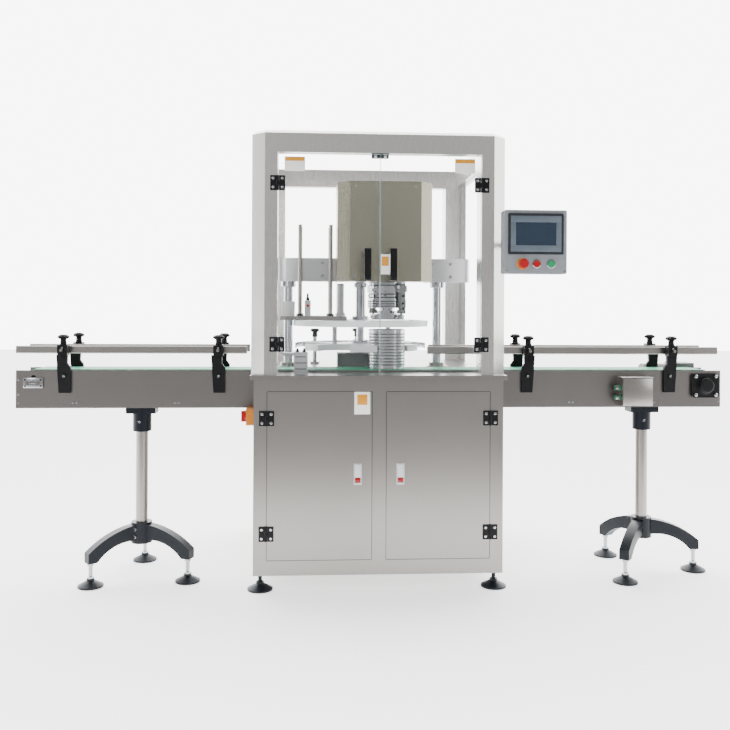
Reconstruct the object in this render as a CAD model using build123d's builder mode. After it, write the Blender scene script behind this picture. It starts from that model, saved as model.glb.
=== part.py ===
"""Can capping machine: a guarded turret seamer on a cabinet, with a through conveyor on two stands.

Units are millimetres. +X runs along the conveyor, the operator stands at -Y, +Z is up.
The origin lies on the floor, below the middle of the machine's bounding box.
"""
import os
from math import cos, radians, sin

from build123d import *

# ---------------------------------------------------------------- driving dimensions
# Guard (the glazed frame above the worktop)
guard_width = 1046
guard_depth = 1060
guard_top = 1859
roof_rim = 12
post_size = 107
post_chamfer = 55
sheet = 3
beam_height = 78
beam_depth = 50
window_thickness = 8
# Cabinet below the worktop
cabinet_width = 1018
cabinet_depth = 1040
cabinet_bottom = 70
cabinet_post = 53
bottom_rail = 60
top_rail = 46
middle_post = 56
panel_thickness = 2
door_thickness = 20
# Worktop
worktop_top = 879
worktop_lip = 19
worktop_overhang = 15
# Conveyor
conveyor_length = 3000
conveyor_width = 186
conveyor_y = -222
side_plate_height = 158
side_plate_top = 887
side_plate_thickness = 3
belt_thickness = 3
belt_width = 160
roller_radius = 30
rail_height = 32
rail_thickness = 12
rail_bottom = 957
rail_gap = 164
# Star wheel and lid turret
wheel_x = -54
wheel_y = -35
pitch_radius = 210
pocket_count = 6
wheel_radius = 266
turret_radius = 306
wheel_bottom = 963
wheel_thickness = 27
turret_bottom = 1070
turret_thickness = 26
inner_shaft_radius = 16.5
sleeve_radius = 23
# Can and lid
can_radius = 78.5
can_height = 169.7
# Head
bridge_bottom = 1270
bridge_height = 105
bridge_depth = 90
bridge_length = 881
column_radius = 20
column_span = 677
column_y = -50
cover_width = 404
cover_top = 1685
cover_bottom = 1264
cover_chamfer = 52
cover_front_y = -365
# Stands
stand_spacing = 2187
stand_middle_x = 93.5
pole_radius = 25
leg_reach = 226
foot_radius = 52
foot_height = 26
# Operator panel
panel_width = 253
panel_height = 256
panel_depth = 70
panel_overlap = 30
panel_bottom = 1293
# Clearances
door_gap = 2
running_gap = 0.3
pin_gap = 0.06
seat_gap = 0.3
slot_gap = 2

# ---------------------------------------------------------------- derived places
front_y = -475
back_y = front_y + guard_depth
half_guard = guard_width / 2
panel_left = half_guard - panel_overlap
half_cabinet = cabinet_width / 2
cabinet_back_y = front_y + cabinet_depth
worktop_under = worktop_top - worktop_lip
beam_bottom = guard_top - beam_height
lane_front = conveyor_y - conveyor_width / 2
lane_back = conveyor_y + conveyor_width / 2
side_plate_bottom = side_plate_top - side_plate_height
half_conveyor = conveyor_length / 2
belt_top = side_plate_top + belt_thickness
wheel_top = wheel_bottom + wheel_thickness
turret_top = turret_bottom + turret_thickness
pocket_radius = can_radius + 1.5
station_x = wheel_x + pitch_radius * cos(radians(-60))
station_y = wheel_y + pitch_radius * sin(radians(-60))
bridge_top = bridge_bottom + bridge_height
bridge_front_y = column_y - bridge_depth / 2
left_column_x = wheel_x - turret_radius - column_radius - slot_gap
columns_x = (left_column_x, left_column_x + column_span)
stands_x = (stand_middle_x - stand_spacing / 2, stand_middle_x + stand_spacing / 2)
stand_y = conveyor_y

os.makedirs("parts", exist_ok=True)


def save(part, name):
    """Label a finished sub-part and write it as its own STEP file."""
    part.label = name
    export_step(part, f"parts/{name}.step")


def box_at(x0, x1, y0, y1, z0, z1, mode=Mode.ADD):
    """A box between two corners, made in the builder that is open."""
    with Locations(((x0 + x1) / 2, (y0 + y1) / 2, (z0 + z1) / 2)):
        Box(x1 - x0, y1 - y0, z1 - z0, mode=mode)


def rod(x, y, z0, z1, radius, mode=Mode.ADD):
    """An upright cylinder between two heights."""
    with Locations((x, y, (z0 + z1) / 2)):
        Cylinder(radius, z1 - z0, mode=mode)


def rod_y(x, y0, y1, z, radius, mode=Mode.ADD):
    """A cylinder that lies along Y."""
    with Locations((x, (y0 + y1) / 2, z)):
        Cylinder(radius, y1 - y0, rotation=(90, 0, 0), mode=mode)


def rod_x(x0, x1, y, z, radius, mode=Mode.ADD):
    """A cylinder that lies along X."""
    with Locations(((x0 + x1) / 2, y, z)):
        Cylinder(radius, x1 - x0, rotation=(0, 90, 0), mode=mode)


# ---------------------------------------------------------------- cabinet
inner_half_cabinet = half_cabinet - cabinet_post
door_bottom = cabinet_bottom + bottom_rail
door_top = worktop_under - top_rail
side_rail_top = side_plate_bottom
side_rail_height = 42

with BuildPart() as cabinet_frame:
    for y0 in (front_y, cabinet_back_y - cabinet_post):
        for x0 in (-half_cabinet, half_cabinet - cabinet_post):
            box_at(x0, x0 + cabinet_post, y0, y0 + cabinet_post, cabinet_bottom, worktop_under)
        box_at(-half_cabinet, half_cabinet, y0, y0 + cabinet_post, cabinet_bottom, door_bottom)
        box_at(-half_cabinet, half_cabinet, y0, y0 + cabinet_post, door_top, worktop_under)
    box_at(-middle_post / 2, middle_post / 2, front_y, front_y + cabinet_post, cabinet_bottom, worktop_under)
    for x0 in (-half_cabinet, half_cabinet - cabinet_post):
        box_at(x0, x0 + cabinet_post, front_y, cabinet_back_y, cabinet_bottom, door_bottom)
        box_at(x0, x0 + cabinet_post, front_y, cabinet_back_y, side_rail_top - side_rail_height, side_rail_top)
        box_at(x0, x0 + cabinet_post, lane_back + slot_gap, cabinet_back_y, door_top, worktop_under)
        box_at(x0, x0 + cabinet_post, front_y, lane_front - slot_gap, door_top, worktop_under)
save(cabinet_frame.part, "cabinet_frame")

with BuildPart() as cabinet_panels:
    for side in (-1, 1):
        inner = side * (half_cabinet - cabinet_post - panel_thickness)
        outer = side * (half_cabinet - cabinet_post)
        x0, x1 = min(inner, outer), max(inner, outer)
        box_at(x0, x1, front_y + cabinet_post, cabinet_back_y - cabinet_post, door_bottom,
               side_rail_top - side_rail_height)
    box_at(-inner_half_cabinet, inner_half_cabinet, cabinet_back_y - cabinet_post,
           cabinet_back_y - cabinet_post + panel_thickness, door_bottom, door_top)
    box_at(-inner_half_cabinet, inner_half_cabinet, front_y + cabinet_post,
           cabinet_back_y - cabinet_post, cabinet_bottom, cabinet_bottom + sheet)
save(cabinet_panels.part, "cabinet_panels")

worktop_edges = (
    (front_y - worktop_overhang, lane_front - slot_gap),
    (lane_back + slot_gap, back_y),
)
shaft_hole = inner_shaft_radius + slot_gap
bush_radius = 36
bush_top = worktop_top + 26
with BuildPart() as worktop:
    for y0, y1 in worktop_edges:
        box_at(-half_guard, half_guard, y0, y1, worktop_under, worktop_top)
        box_at(-half_guard + sheet, half_guard - sheet, y0 + sheet, y1 - sheet, worktop_under,
               worktop_top - sheet, mode=Mode.SUBTRACT)
    rod(wheel_x, wheel_y, worktop_under, worktop_top, shaft_hole, mode=Mode.SUBTRACT)
    for x in columns_x:
        rod(x, column_y, worktop_top - sheet, worktop_top + 10, bush_radius + 12)
        rod(x, column_y, worktop_top, bush_top, bush_radius)
        rod(x, column_y, worktop_under, bush_top, column_radius + pin_gap, mode=Mode.SUBTRACT)
save(worktop.part, "worktop")

# ---------------------------------------------------------------- guard


def post_outline(size, chamfer):
    """A square post with its outer corner cut off; the outer corner is at the origin, the post in +X +Y."""
    Polyline((chamfer, 0), (size, 0), (size, size), (0, size), (0, chamfer), close=True)


with BuildPart() as guard_post:
    with BuildSketch():
        with BuildLine():
            post_outline(post_size, post_chamfer)
        make_face()
        offset(amount=-sheet, mode=Mode.SUBTRACT)
    extrude(amount=guard_top - worktop_top)
    with BuildSketch(Plane.XY.offset(guard_top - worktop_top - sheet)):
        with BuildLine():
            post_outline(post_size, post_chamfer)
        make_face()
    extrude(amount=sheet)

with BuildPart() as guard_frame:
    with Locations((-half_guard, front_y, worktop_top)):
        add(guard_post.part)
    with Locations(Location((half_guard, front_y, worktop_top), (0, 0, 90))):
        add(guard_post.part)
    with Locations(Location((half_guard, back_y, worktop_top), (0, 0, 180))):
        add(guard_post.part)
    with Locations(Location((-half_guard, back_y, worktop_top), (0, 0, 270))):
        add(guard_post.part)
    post_inner_x = half_guard - post_size
    for y0 in (front_y, back_y - beam_depth):
        box_at(-post_inner_x, post_inner_x, y0, y0 + beam_depth, beam_bottom, guard_top)
    for x0 in (-half_guard, half_guard - beam_depth):
        box_at(x0, x0 + beam_depth, front_y + post_size, back_y - post_size, beam_bottom, guard_top)
    with BuildSketch(Plane.XY.offset(guard_top)):
        with Locations((0, (front_y + back_y) / 2)):
            rim = Rectangle(guard_width, guard_depth)
        chamfer(rim.vertices(), post_chamfer)
    extrude(amount=roof_rim, taper=45)
    box_at(-half_guard + beam_depth, half_guard - beam_depth, front_y + beam_depth, back_y - beam_depth,
           guard_top, guard_top + roof_rim, mode=Mode.SUBTRACT)
save(guard_frame.part, "guard_frame")

window_bottom = worktop_top + 5
lane_cut_top = 1130
with BuildPart() as guard_windows:
    for side in (-1, 1):
        outer = side * (half_guard - beam_depth / 2)
        inner = outer - side * window_thickness
        x0, x1 = min(inner, outer), max(inner, outer)
        box_at(x0, x1, front_y + post_size, back_y - post_size, window_bottom, beam_bottom)
        box_at(x0, x1, front_y + post_size, lane_back + 15, window_bottom, lane_cut_top,
               mode=Mode.SUBTRACT)
    box_at(-post_inner_x, post_inner_x, back_y - beam_depth / 2, back_y - beam_depth / 2 + window_thickness,
           window_bottom, beam_bottom)
save(guard_windows.part, "guard_windows")

# ---------------------------------------------------------------- hinges and doors
hinge_size = 60
hinge_leaf = 4
knuckle_radius = 4.6
hinge_pin_radius = 2.5
pin_forward = 5
knuckle_length = hinge_size / 3
leaf_start = knuckle_radius + 0.6
guard_door_edge = half_guard - post_size
guard_hinge_x = guard_door_edge
cabinet_hinge_x = inner_half_cabinet
guard_hinge_heights = (1004.5, 1656)
cabinet_hinge_heights = (239, 705)
pin_y = front_y - pin_forward


def hinge_leaf_at(x, z, side, moving):
    """One leaf of a butt hinge on the front face; side is the way that the leaf points from its pin."""
    y0 = front_y - running_gap - hinge_leaf
    y1 = front_y - running_gap if moving else front_y
    x0, x1 = sorted((x + side * leaf_start, x + side * hinge_size / 2))
    box_at(x0, x1, y0, y1, z - hinge_size / 2, z + hinge_size / 2)
    barrels = (0,) if moving else (-1, 1)
    for step in barrels:
        middle = z + step * knuckle_length
        half = knuckle_length / 2 - (running_gap if moving else 0)
        tab_x0, tab_x1 = sorted((x, x + side * leaf_start))
        box_at(tab_x0, tab_x1, y0, y0 + hinge_leaf, middle - half, middle + half)
        rod(x, pin_y, middle - half, middle + half, knuckle_radius)
    if moving:
        rod(x, pin_y, z - knuckle_length, z + knuckle_length, hinge_pin_radius + pin_gap, mode=Mode.SUBTRACT)
    else:
        rod(x, pin_y, z - hinge_size / 2, z + hinge_size / 2, hinge_pin_radius)


catch_width = 70
with BuildPart() as door_hardware:
    for side in (-1, 1):
        for z in guard_hinge_heights:
            hinge_leaf_at(side * guard_hinge_x, z, side, moving=False)
        for z in cabinet_hinge_heights:
            hinge_leaf_at(side * cabinet_hinge_x, z, side, moving=False)
    box_at(-catch_width / 2, catch_width / 2, front_y + 15, front_y + 40, beam_bottom - 16, beam_bottom)
save(door_hardware.part, "door_hardware")

guard_door_bottom = worktop_top + 5
guard_door_top = beam_bottom - 3
guard_door_thickness = 8
handle_height = 130
handle_middle_z = 1330
handle_width = 26
handle_reach = 42
handle_x = 52
handle_foot = 22
finger_gap = 28
for side, name in ((-1, "left"), (1, "right")):
    hinge_edge = side * (guard_door_edge - door_gap)
    middle_edge = side * door_gap / 2
    x0, x1 = sorted((hinge_edge, middle_edge))
    with BuildPart() as guard_door:
        box_at(x0, x1, front_y, front_y + guard_door_thickness, guard_door_bottom, guard_door_top)
    save(guard_door.part, f"guard_door_{name}")
    with BuildPart() as door_fittings:
        for z in guard_hinge_heights:
            hinge_leaf_at(side * guard_hinge_x, z, -side, moving=True)
        with BuildSketch(Plane.YZ.offset(side * handle_x - handle_width / 2)):
            with Locations((front_y - handle_reach / 2, handle_middle_z)):
                Rectangle(handle_reach, handle_height)
            with Locations((front_y - finger_gap / 2, handle_middle_z)):
                Rectangle(finger_gap, handle_height - 2 * handle_foot, mode=Mode.SUBTRACT)
        extrude(amount=handle_width)
        fillet(door_fittings.edges().filter_by(Axis.X).group_by(Axis.Y)[0], 12)
    save(door_fittings.part, f"guard_fittings_{name}")

latch_x = 87
latch_width = 28
latch_height = 81
latch_middle_z = 478
button_radius = 8
button_drop = 24
button_reach = 3
button_travel = 3
bezel = 3
latch_depth = 18
for side, name in ((-1, "left"), (1, "right")):
    hinge_edge = side * (inner_half_cabinet - door_gap)
    middle_edge = side * (middle_post / 2 + door_gap)
    x0, x1 = sorted((hinge_edge, middle_edge))
    x = side * latch_x
    button_z = latch_middle_z - button_drop
    with BuildPart() as cabinet_door:
        box_at(x0, x1, front_y, front_y + door_thickness, door_bottom + door_gap, door_top - door_gap)
        box_at(x0 + panel_thickness, x1 - panel_thickness, front_y + panel_thickness,
               front_y + door_thickness, door_bottom + door_gap + panel_thickness,
               door_top - door_gap - panel_thickness, mode=Mode.SUBTRACT)
        box_at(x - latch_width / 2 + bezel, x + latch_width / 2 - bezel, front_y, front_y + panel_thickness,
               latch_middle_z - latch_height / 2 + bezel, latch_middle_z + latch_height / 2 - bezel,
               mode=Mode.SUBTRACT)
    save(cabinet_door.part, f"cabinet_door_{name}")
    with BuildPart() as leaves:
        for z in cabinet_hinge_heights:
            hinge_leaf_at(side * cabinet_hinge_x, z, -side, moving=True)
    with BuildPart() as latch:
        box_at(x - latch_width / 2, x + latch_width / 2, front_y - bezel, front_y,
               latch_middle_z - latch_height / 2, latch_middle_z + latch_height / 2)
        fillet(latch.edges().filter_by(Axis.Y), 4)
        box_at(x - latch_width / 2 + bezel + running_gap, x + latch_width / 2 - bezel - running_gap, front_y,
               front_y + latch_depth, latch_middle_z - latch_height / 2 + bezel + running_gap,
               latch_middle_z + latch_height / 2 - bezel - running_gap)
        rod_y(x, front_y - bezel, front_y + latch_depth, button_z, button_radius + running_gap,
              mode=Mode.SUBTRACT)
    with BuildPart() as door_fittings:
        add(leaves.part)
        add(latch.part)
    save(door_fittings.part, f"cabinet_fittings_{name}")
    with BuildPart() as latch_button:
        rod_y(x, front_y - bezel - button_reach, front_y + latch_depth - button_travel - 1, button_z,
              button_radius)
        fillet(latch_button.faces().sort_by(Axis.Y)[0].edges(), 1)
    save(latch_button.part, f"latch_button_{name}")

# ---------------------------------------------------------------- levelling feet
level_foot_x = 482
level_foot_inset = 50
stem_radius = 8
nut_radius = 14
nut_height = 12


def foot_outline(stem_top):
    """Half the section of a swivel foot: pad, neck, locking nut and stem."""
    Polyline((0, 0), (foot_radius, 0), (foot_radius, 7), (30, foot_height - 7), (16, foot_height),
             (16, foot_height + 8), (stem_radius, foot_height + 8), (stem_radius, stem_top - nut_height),
             (nut_radius, stem_top - nut_height), (nut_radius, stem_top), (0, stem_top), close=True)


with BuildPart() as cabinet_foot:
    with BuildSketch(Plane.XZ):
        with BuildLine():
            foot_outline(cabinet_bottom)
        make_face()
    revolve(axis=Axis.Z)


# ---------------------------------------------------------------- lifting columns and head
column_bottom = 480
column_top = bridge_top - 6
collar_radius = 34
collar_height = 22
crosshead_height = 40
screw_radius = 16
jack_x = sum(columns_x) / 2
with BuildPart() as columns:
    for x in columns_x:
        rod(x, column_y, column_bottom, column_top, column_radius)
        rod(x, column_y, bridge_bottom - collar_height, bridge_bottom, collar_radius)
    box_at(columns_x[0] - 30, columns_x[1] + 30, column_y - 30, column_y + 30,
           column_bottom - crosshead_height, column_bottom)
    rod(jack_x, column_y, column_bottom - crosshead_height, column_bottom, screw_radius + running_gap,
        mode=Mode.SUBTRACT)
save(columns.part, "columns")

lift_travel = 120

bridge_left = -437
bridge_end_radius = 44
base_plate = 22
cover_left = -170
cover_right = cover_left + cover_width
spindle_hole = 92
with BuildPart() as head_bridge:
    with BuildSketch(Plane.XY.offset(bridge_bottom)):
        with Locations((bridge_left + bridge_length / 2, column_y)):
            RectangleRounded(bridge_length, bridge_depth, bridge_end_radius)
    extrude(amount=bridge_height)
    box_at(cover_left + sheet, cover_right - sheet, cover_front_y + cover_chamfer + sheet, bridge_front_y,
           bridge_bottom, bridge_bottom + base_plate)
    rod(station_x, station_y, bridge_bottom, bridge_bottom + base_plate, spindle_hole, mode=Mode.SUBTRACT)
    for x in columns_x:
        rod(x, column_y, bridge_bottom, column_top, column_radius, mode=Mode.SUBTRACT)
    rod(wheel_x, wheel_y, bridge_bottom, bridge_top, sleeve_radius + running_gap, mode=Mode.SUBTRACT)
save(head_bridge.part, "head_bridge")


def cover_outline(inset):
    """Plan of the head cover: a rectangle with its two front corners cut off."""
    left, right = cover_left + inset, cover_right - inset
    front, back = cover_front_y + inset, bridge_front_y - seat_gap
    cut = cover_chamfer - inset * (2 - 2 ** 0.5)
    Polyline((left + cut, front), (right - cut, front), (right, front + cut), (right, back), (left, back),
             (left, front + cut), close=True)


with BuildPart() as head_cover:
    with BuildSketch(Plane.XY.offset(cover_bottom)):
        with BuildLine():
            cover_outline(0)
        make_face()
    extrude(amount=cover_top - cover_bottom)
    with BuildSketch(Plane.XY.offset(cover_bottom)):
        with BuildLine():
            cover_outline(sheet)
        make_face()
    extrude(amount=cover_top - cover_bottom - sheet, mode=Mode.SUBTRACT)
save(head_cover.part, "head_cover")

housing_top = bridge_bottom + base_plate + 60
motor_radius = 62
quill_radius = 30
drum_top = 1190
drum_bottom = 1152
drum_radius = 84
casting_radius = 80
with BuildPart() as seaming_drive:
    rod(station_x, station_y, bridge_bottom + base_plate, housing_top, spindle_hole + 14)
    box_at(station_x - 70, station_x + 70, station_y - 70, station_y + 70, housing_top, housing_top + 60)
    rod(station_x, station_y, housing_top + 60, 1640, motor_radius)
    rod(station_x, station_y, bridge_bottom + base_plate, 1460, quill_radius + running_gap,
        mode=Mode.SUBTRACT)
save(seaming_drive.part, "seaming_drive")

lever_azimuths = (-55, 125)
lever_radius = 99
lever_depth = 14
lever_width = 28
lever_top = 1258
lever_bottom = 1128
lever_pin_z = 1235
lever_pin_radius = 5
ear_thickness = 8
ear_gap = 0.5
with BuildPart() as seaming_head:
    rod(station_x, station_y, drum_top, bridge_bottom + base_plate, casting_radius)
    rod(station_x, station_y, drum_top + 34, drum_top + 46, casting_radius + 8)
    rod(station_x, station_y, drum_bottom, drum_top, drum_radius)
    rod(station_x, station_y, drum_bottom, bridge_bottom + base_plate, quill_radius + running_gap,
        mode=Mode.SUBTRACT)
    for azimuth in lever_azimuths:
        with Locations(Location((station_x, station_y, 0), (0, 0, azimuth))):
            ear_y = lever_width / 2 + ear_gap + ear_thickness / 2
            with Locations((lever_radius - 8, ear_y, lever_pin_z), (lever_radius - 8, -ear_y, lever_pin_z)):
                Box(34, ear_thickness, 28)
            with Locations((lever_radius, 0, lever_pin_z)):
                Cylinder(lever_pin_radius, lever_width + 2 * (ear_gap + ear_thickness), rotation=(90, 0, 0))
save(seaming_head.part, "seaming_head")

roller_bottom = turret_top + 8
roller_thickness = 20
roller_seam_radius = 14
roller_pin_radius = 5
roller_centre = 94
for azimuth, name in zip(lever_azimuths, ("first", "second")):
    with BuildPart() as lever:
        with Locations(Location((station_x, station_y, 0), (0, 0, azimuth))):
            with Locations((lever_radius, 0, (lever_top + lever_bottom) / 2)):
                Box(lever_depth, lever_width, lever_top - lever_bottom)
            with Locations((lever_radius - 4, 0, lever_bottom + 8)):
                Box(lever_depth + 12, lever_width, 16)
            with Locations((lever_radius, 0, lever_pin_z)):
                Cylinder(lever_pin_radius + pin_gap, lever_width, rotation=(90, 0, 0), mode=Mode.SUBTRACT)
            with Locations((roller_centre, 0, (roller_bottom + lever_bottom) / 2)):
                Cylinder(roller_pin_radius, lever_bottom - roller_bottom)
    save(lever.part, f"seaming_lever_{name}")
    with BuildPart() as roller:
        with Locations(Location((station_x, station_y, 0), (0, 0, azimuth))):
            with Locations((roller_centre, 0, roller_bottom + roller_thickness / 2)):
                Cylinder(roller_seam_radius, roller_thickness)
                Cylinder(roller_pin_radius + pin_gap, roller_thickness, mode=Mode.SUBTRACT)
    save(roller.part, f"seaming_roller_{name}")

chuck_radius = 72
chuck_bottom = turret_top + 6
chuck_height = 24
with BuildPart() as quill:
    rod(station_x, station_y, chuck_bottom + chuck_height + 14, 1400, quill_radius - 2 * pin_gap)
    rod(station_x, station_y, chuck_bottom + chuck_height + running_gap, chuck_bottom + chuck_height + 14,
        quill_radius + 12)
    rod(station_x, station_y, chuck_bottom, 1400, 10 + pin_gap, mode=Mode.SUBTRACT)
save(quill.part, "quill")

with BuildPart() as chuck:
    rod(station_x, station_y, chuck_bottom, chuck_bottom + 10, chuck_radius - 6)
    rod(station_x, station_y, chuck_bottom + 10, chuck_bottom + chuck_height, chuck_radius)
    rod(station_x, station_y, chuck_bottom + chuck_height, 1380, 10)
save(chuck.part, "chuck")

# ---------------------------------------------------------------- star wheel and lid turret
sleeve_top = bridge_top - 35
turret_flange_radius = 40
turret_flange_height = 14
clamp_collar_height = 20
with BuildPart() as lid_turret:
    with BuildSketch(Plane.XY.offset(turret_bottom)):
        with Locations((wheel_x, wheel_y)):
            Circle(turret_radius)
            Circle(sleeve_radius, mode=Mode.SUBTRACT)
            with PolarLocations(pitch_radius, pocket_count):
                Circle(pocket_radius, mode=Mode.SUBTRACT)
    extrude(amount=turret_thickness)
save(lid_turret.part, "lid_turret")

with BuildPart() as turret_sleeve:
    rod(wheel_x, wheel_y, turret_bottom, sleeve_top, sleeve_radius)
    rod(wheel_x, wheel_y, turret_top, turret_top + turret_flange_height, turret_flange_radius)
    rod(wheel_x, wheel_y, bridge_bottom - clamp_collar_height - 4, bridge_bottom - 4, sleeve_radius + 9)
    rod(wheel_x, wheel_y, turret_bottom, sleeve_top - 10, inner_shaft_radius + pin_gap, mode=Mode.SUBTRACT)
save(turret_sleeve.part, "turret_sleeve")

drive_post_radius = 11
drive_post_circle = 138
with BuildPart() as can_wheel:
    with BuildSketch(Plane.XY.offset(wheel_bottom)):
        with Locations((wheel_x, wheel_y)):
            Circle(wheel_radius)
            Circle(inner_shaft_radius, mode=Mode.SUBTRACT)
            with PolarLocations(pitch_radius, pocket_count):
                Circle(pocket_radius, mode=Mode.SUBTRACT)
            with PolarLocations(pitch_radius + pocket_radius, pocket_count):
                Rectangle(2 * pocket_radius, 2 * pocket_radius, mode=Mode.SUBTRACT)
    extrude(amount=wheel_thickness)
save(can_wheel.part, "can_wheel")

inner_shaft_bottom = 700
with BuildPart() as wheel_shaft:
    rod(wheel_x, wheel_y, inner_shaft_bottom, 1220, inner_shaft_radius)
    rod(wheel_x, wheel_y, wheel_bottom - 12, wheel_bottom, turret_flange_radius + 10)
    rod(wheel_x, wheel_y, wheel_top, wheel_top + 12, turret_flange_radius)
    with Locations((wheel_x, wheel_y, 0)):
        with PolarLocations(drive_post_circle, pocket_count // 2, start_angle=210):
            with Locations((0, 0, (wheel_top + turret_bottom - running_gap) / 2)):
                Cylinder(drive_post_radius, turret_bottom - running_gap - wheel_top)
save(wheel_shaft.part, "wheel_shaft")

can_bottom = belt_top + seat_gap
rib_count = 8
rib_depth = 1.2
rib_height = 6
rib_pitch = 13
with BuildPart() as sample_can:
    rod(station_x, station_y, can_bottom, can_bottom + can_height, can_radius)
    for rib in range(rib_count):
        rib_z = can_bottom + 32 + rib * rib_pitch
        with Locations((station_x, station_y, rib_z)):
            Cylinder(can_radius + 1, rib_height, mode=Mode.SUBTRACT)
            Cylinder(can_radius - rib_depth, rib_height)
    rod(station_x, station_y, can_bottom + sheet, can_bottom + can_height, can_radius - 4, mode=Mode.SUBTRACT)
save(sample_can.part, "sample_can")

indexer_top = 830
indexer_half = 90
indexer_bottom = column_bottom + lift_travel + 30
hub_box_left = wheel_x - 106
hub_box_right = wheel_x + 104
hub_box_half = 58
hub_box_top = 946
jack_top = 220
with BuildPart() as cabinet_drives:
    box_at(wheel_x - indexer_half, wheel_x + indexer_half, wheel_y - indexer_half, wheel_y + indexer_half,
           indexer_bottom, indexer_top)
    rod(wheel_x, wheel_y, indexer_top, worktop_top - sheet, 60)
    rod_y(wheel_x, wheel_y + indexer_half, wheel_y + indexer_half + 240, 720, 58)
    box_at(hub_box_left, hub_box_right, wheel_y - hub_box_half, wheel_y + hub_box_half, worktop_top,
           hub_box_top)
    rod(wheel_x, wheel_y, inner_shaft_bottom, hub_box_top, inner_shaft_radius + pin_gap, mode=Mode.SUBTRACT)
    rod(jack_x, column_y, jack_top, column_bottom + lift_travel + 8, screw_radius)
    box_at(jack_x - 70, jack_x + 70, column_y - 60, column_y + 60, cabinet_bottom + sheet, jack_top)
save(cabinet_drives.part, "cabinet_drives")

# ---------------------------------------------------------------- lid magazine on the left column
magazine_plate = 17
magazine_bottom = turret_top + 3
magazine_top = magazine_bottom + magazine_plate
magazine_x = -262
magazine_y = -176
magazine_left = -413
magazine_right = -126
magazine_front = -280
magazine_back = -8
lid_rod_radius = 8.5
lid_rod_top = 1510
lid_rod_dx = 66
lid_rod_dy = 70
with BuildPart() as lid_magazine:
    box_at(magazine_left, magazine_right, magazine_front, magazine_back, magazine_bottom, magazine_top)
    rod(magazine_x, magazine_y, magazine_bottom, magazine_top, pocket_radius, mode=Mode.SUBTRACT)
    rod(wheel_x, wheel_y, magazine_bottom, magazine_top, turret_flange_radius + 36, mode=Mode.SUBTRACT)
    rod(columns_x[0], column_y, magazine_bottom, magazine_top, column_radius, mode=Mode.SUBTRACT)
    with Locations((magazine_x, magazine_y, (magazine_top + lid_rod_top) / 2)):
        with GridLocations(2 * lid_rod_dx, 2 * lid_rod_dy, 2, 2):
            Cylinder(lid_rod_radius, lid_rod_top - magazine_top)
save(lid_magazine.part, "lid_magazine")

clamp_half = 29
clamp_top = 1180
cylinder_x = -147
cylinder_radius = 18
cylinder_top = bridge_bottom - 8
sensor_x = -294
sensor_top = 1183
with BuildPart() as magazine_drive:
    box_at(columns_x[0] - clamp_half, columns_x[0] + clamp_half, column_y - 40, column_y + 40, magazine_top,
           clamp_top)
    rod(columns_x[0], column_y, magazine_top, clamp_top, column_radius, mode=Mode.SUBTRACT)
    rod(cylinder_x, wheel_y, magazine_top, cylinder_top, cylinder_radius)
    rod(cylinder_x, wheel_y, magazine_top, magazine_top + 12, cylinder_radius + 6)
    box_at(sensor_x - 13, sensor_x + 13, magazine_front, magazine_front + 18, magazine_top, sensor_top)
    rod_y(sensor_x, magazine_front - 6, magazine_front, sensor_top - 22, 9)
save(magazine_drive.part, "magazine_drive")

# ---------------------------------------------------------------- can guide behind the wheel
guide_inner = pitch_radius + can_radius + 4
guide_thickness = 5
guide_post_circle = 322
guide_post_radius = 10
guide_angles = (50, 90, 130)
guide_z0 = 968
guide_post_top = 1010
guide_z1 = 992
with BuildPart() as can_guide:
    with BuildSketch(Plane.XY.offset(guide_z0)):
        with Locations((wheel_x, wheel_y)):
            Circle(guide_inner + guide_thickness)
            Circle(guide_inner, mode=Mode.SUBTRACT)
            with Locations((0, -guide_inner - 10)):
                Rectangle(3 * guide_inner, 2 * guide_inner + 20, mode=Mode.SUBTRACT)
    extrude(amount=guide_z1 - guide_z0)
    for angle in guide_angles:
        with Locations(Location((wheel_x, wheel_y, 0), (0, 0, angle))):
            with Locations((guide_post_circle, 0, (worktop_top + guide_post_top) / 2)):
                Cylinder(guide_post_radius, guide_post_top - worktop_top)
            with Locations((guide_post_circle, 0, worktop_top + 6)):
                Cylinder(guide_post_radius + 14, 12)
            bar_x0 = guide_inner + guide_thickness - 1
            with Locations(((bar_x0 + guide_post_circle) / 2, 0, (guide_z0 + guide_z1) / 2)):
                Box(guide_post_circle - bar_x0, 16, guide_z1 - guide_z0 - 6)
save(can_guide.part, "can_guide")

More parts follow.
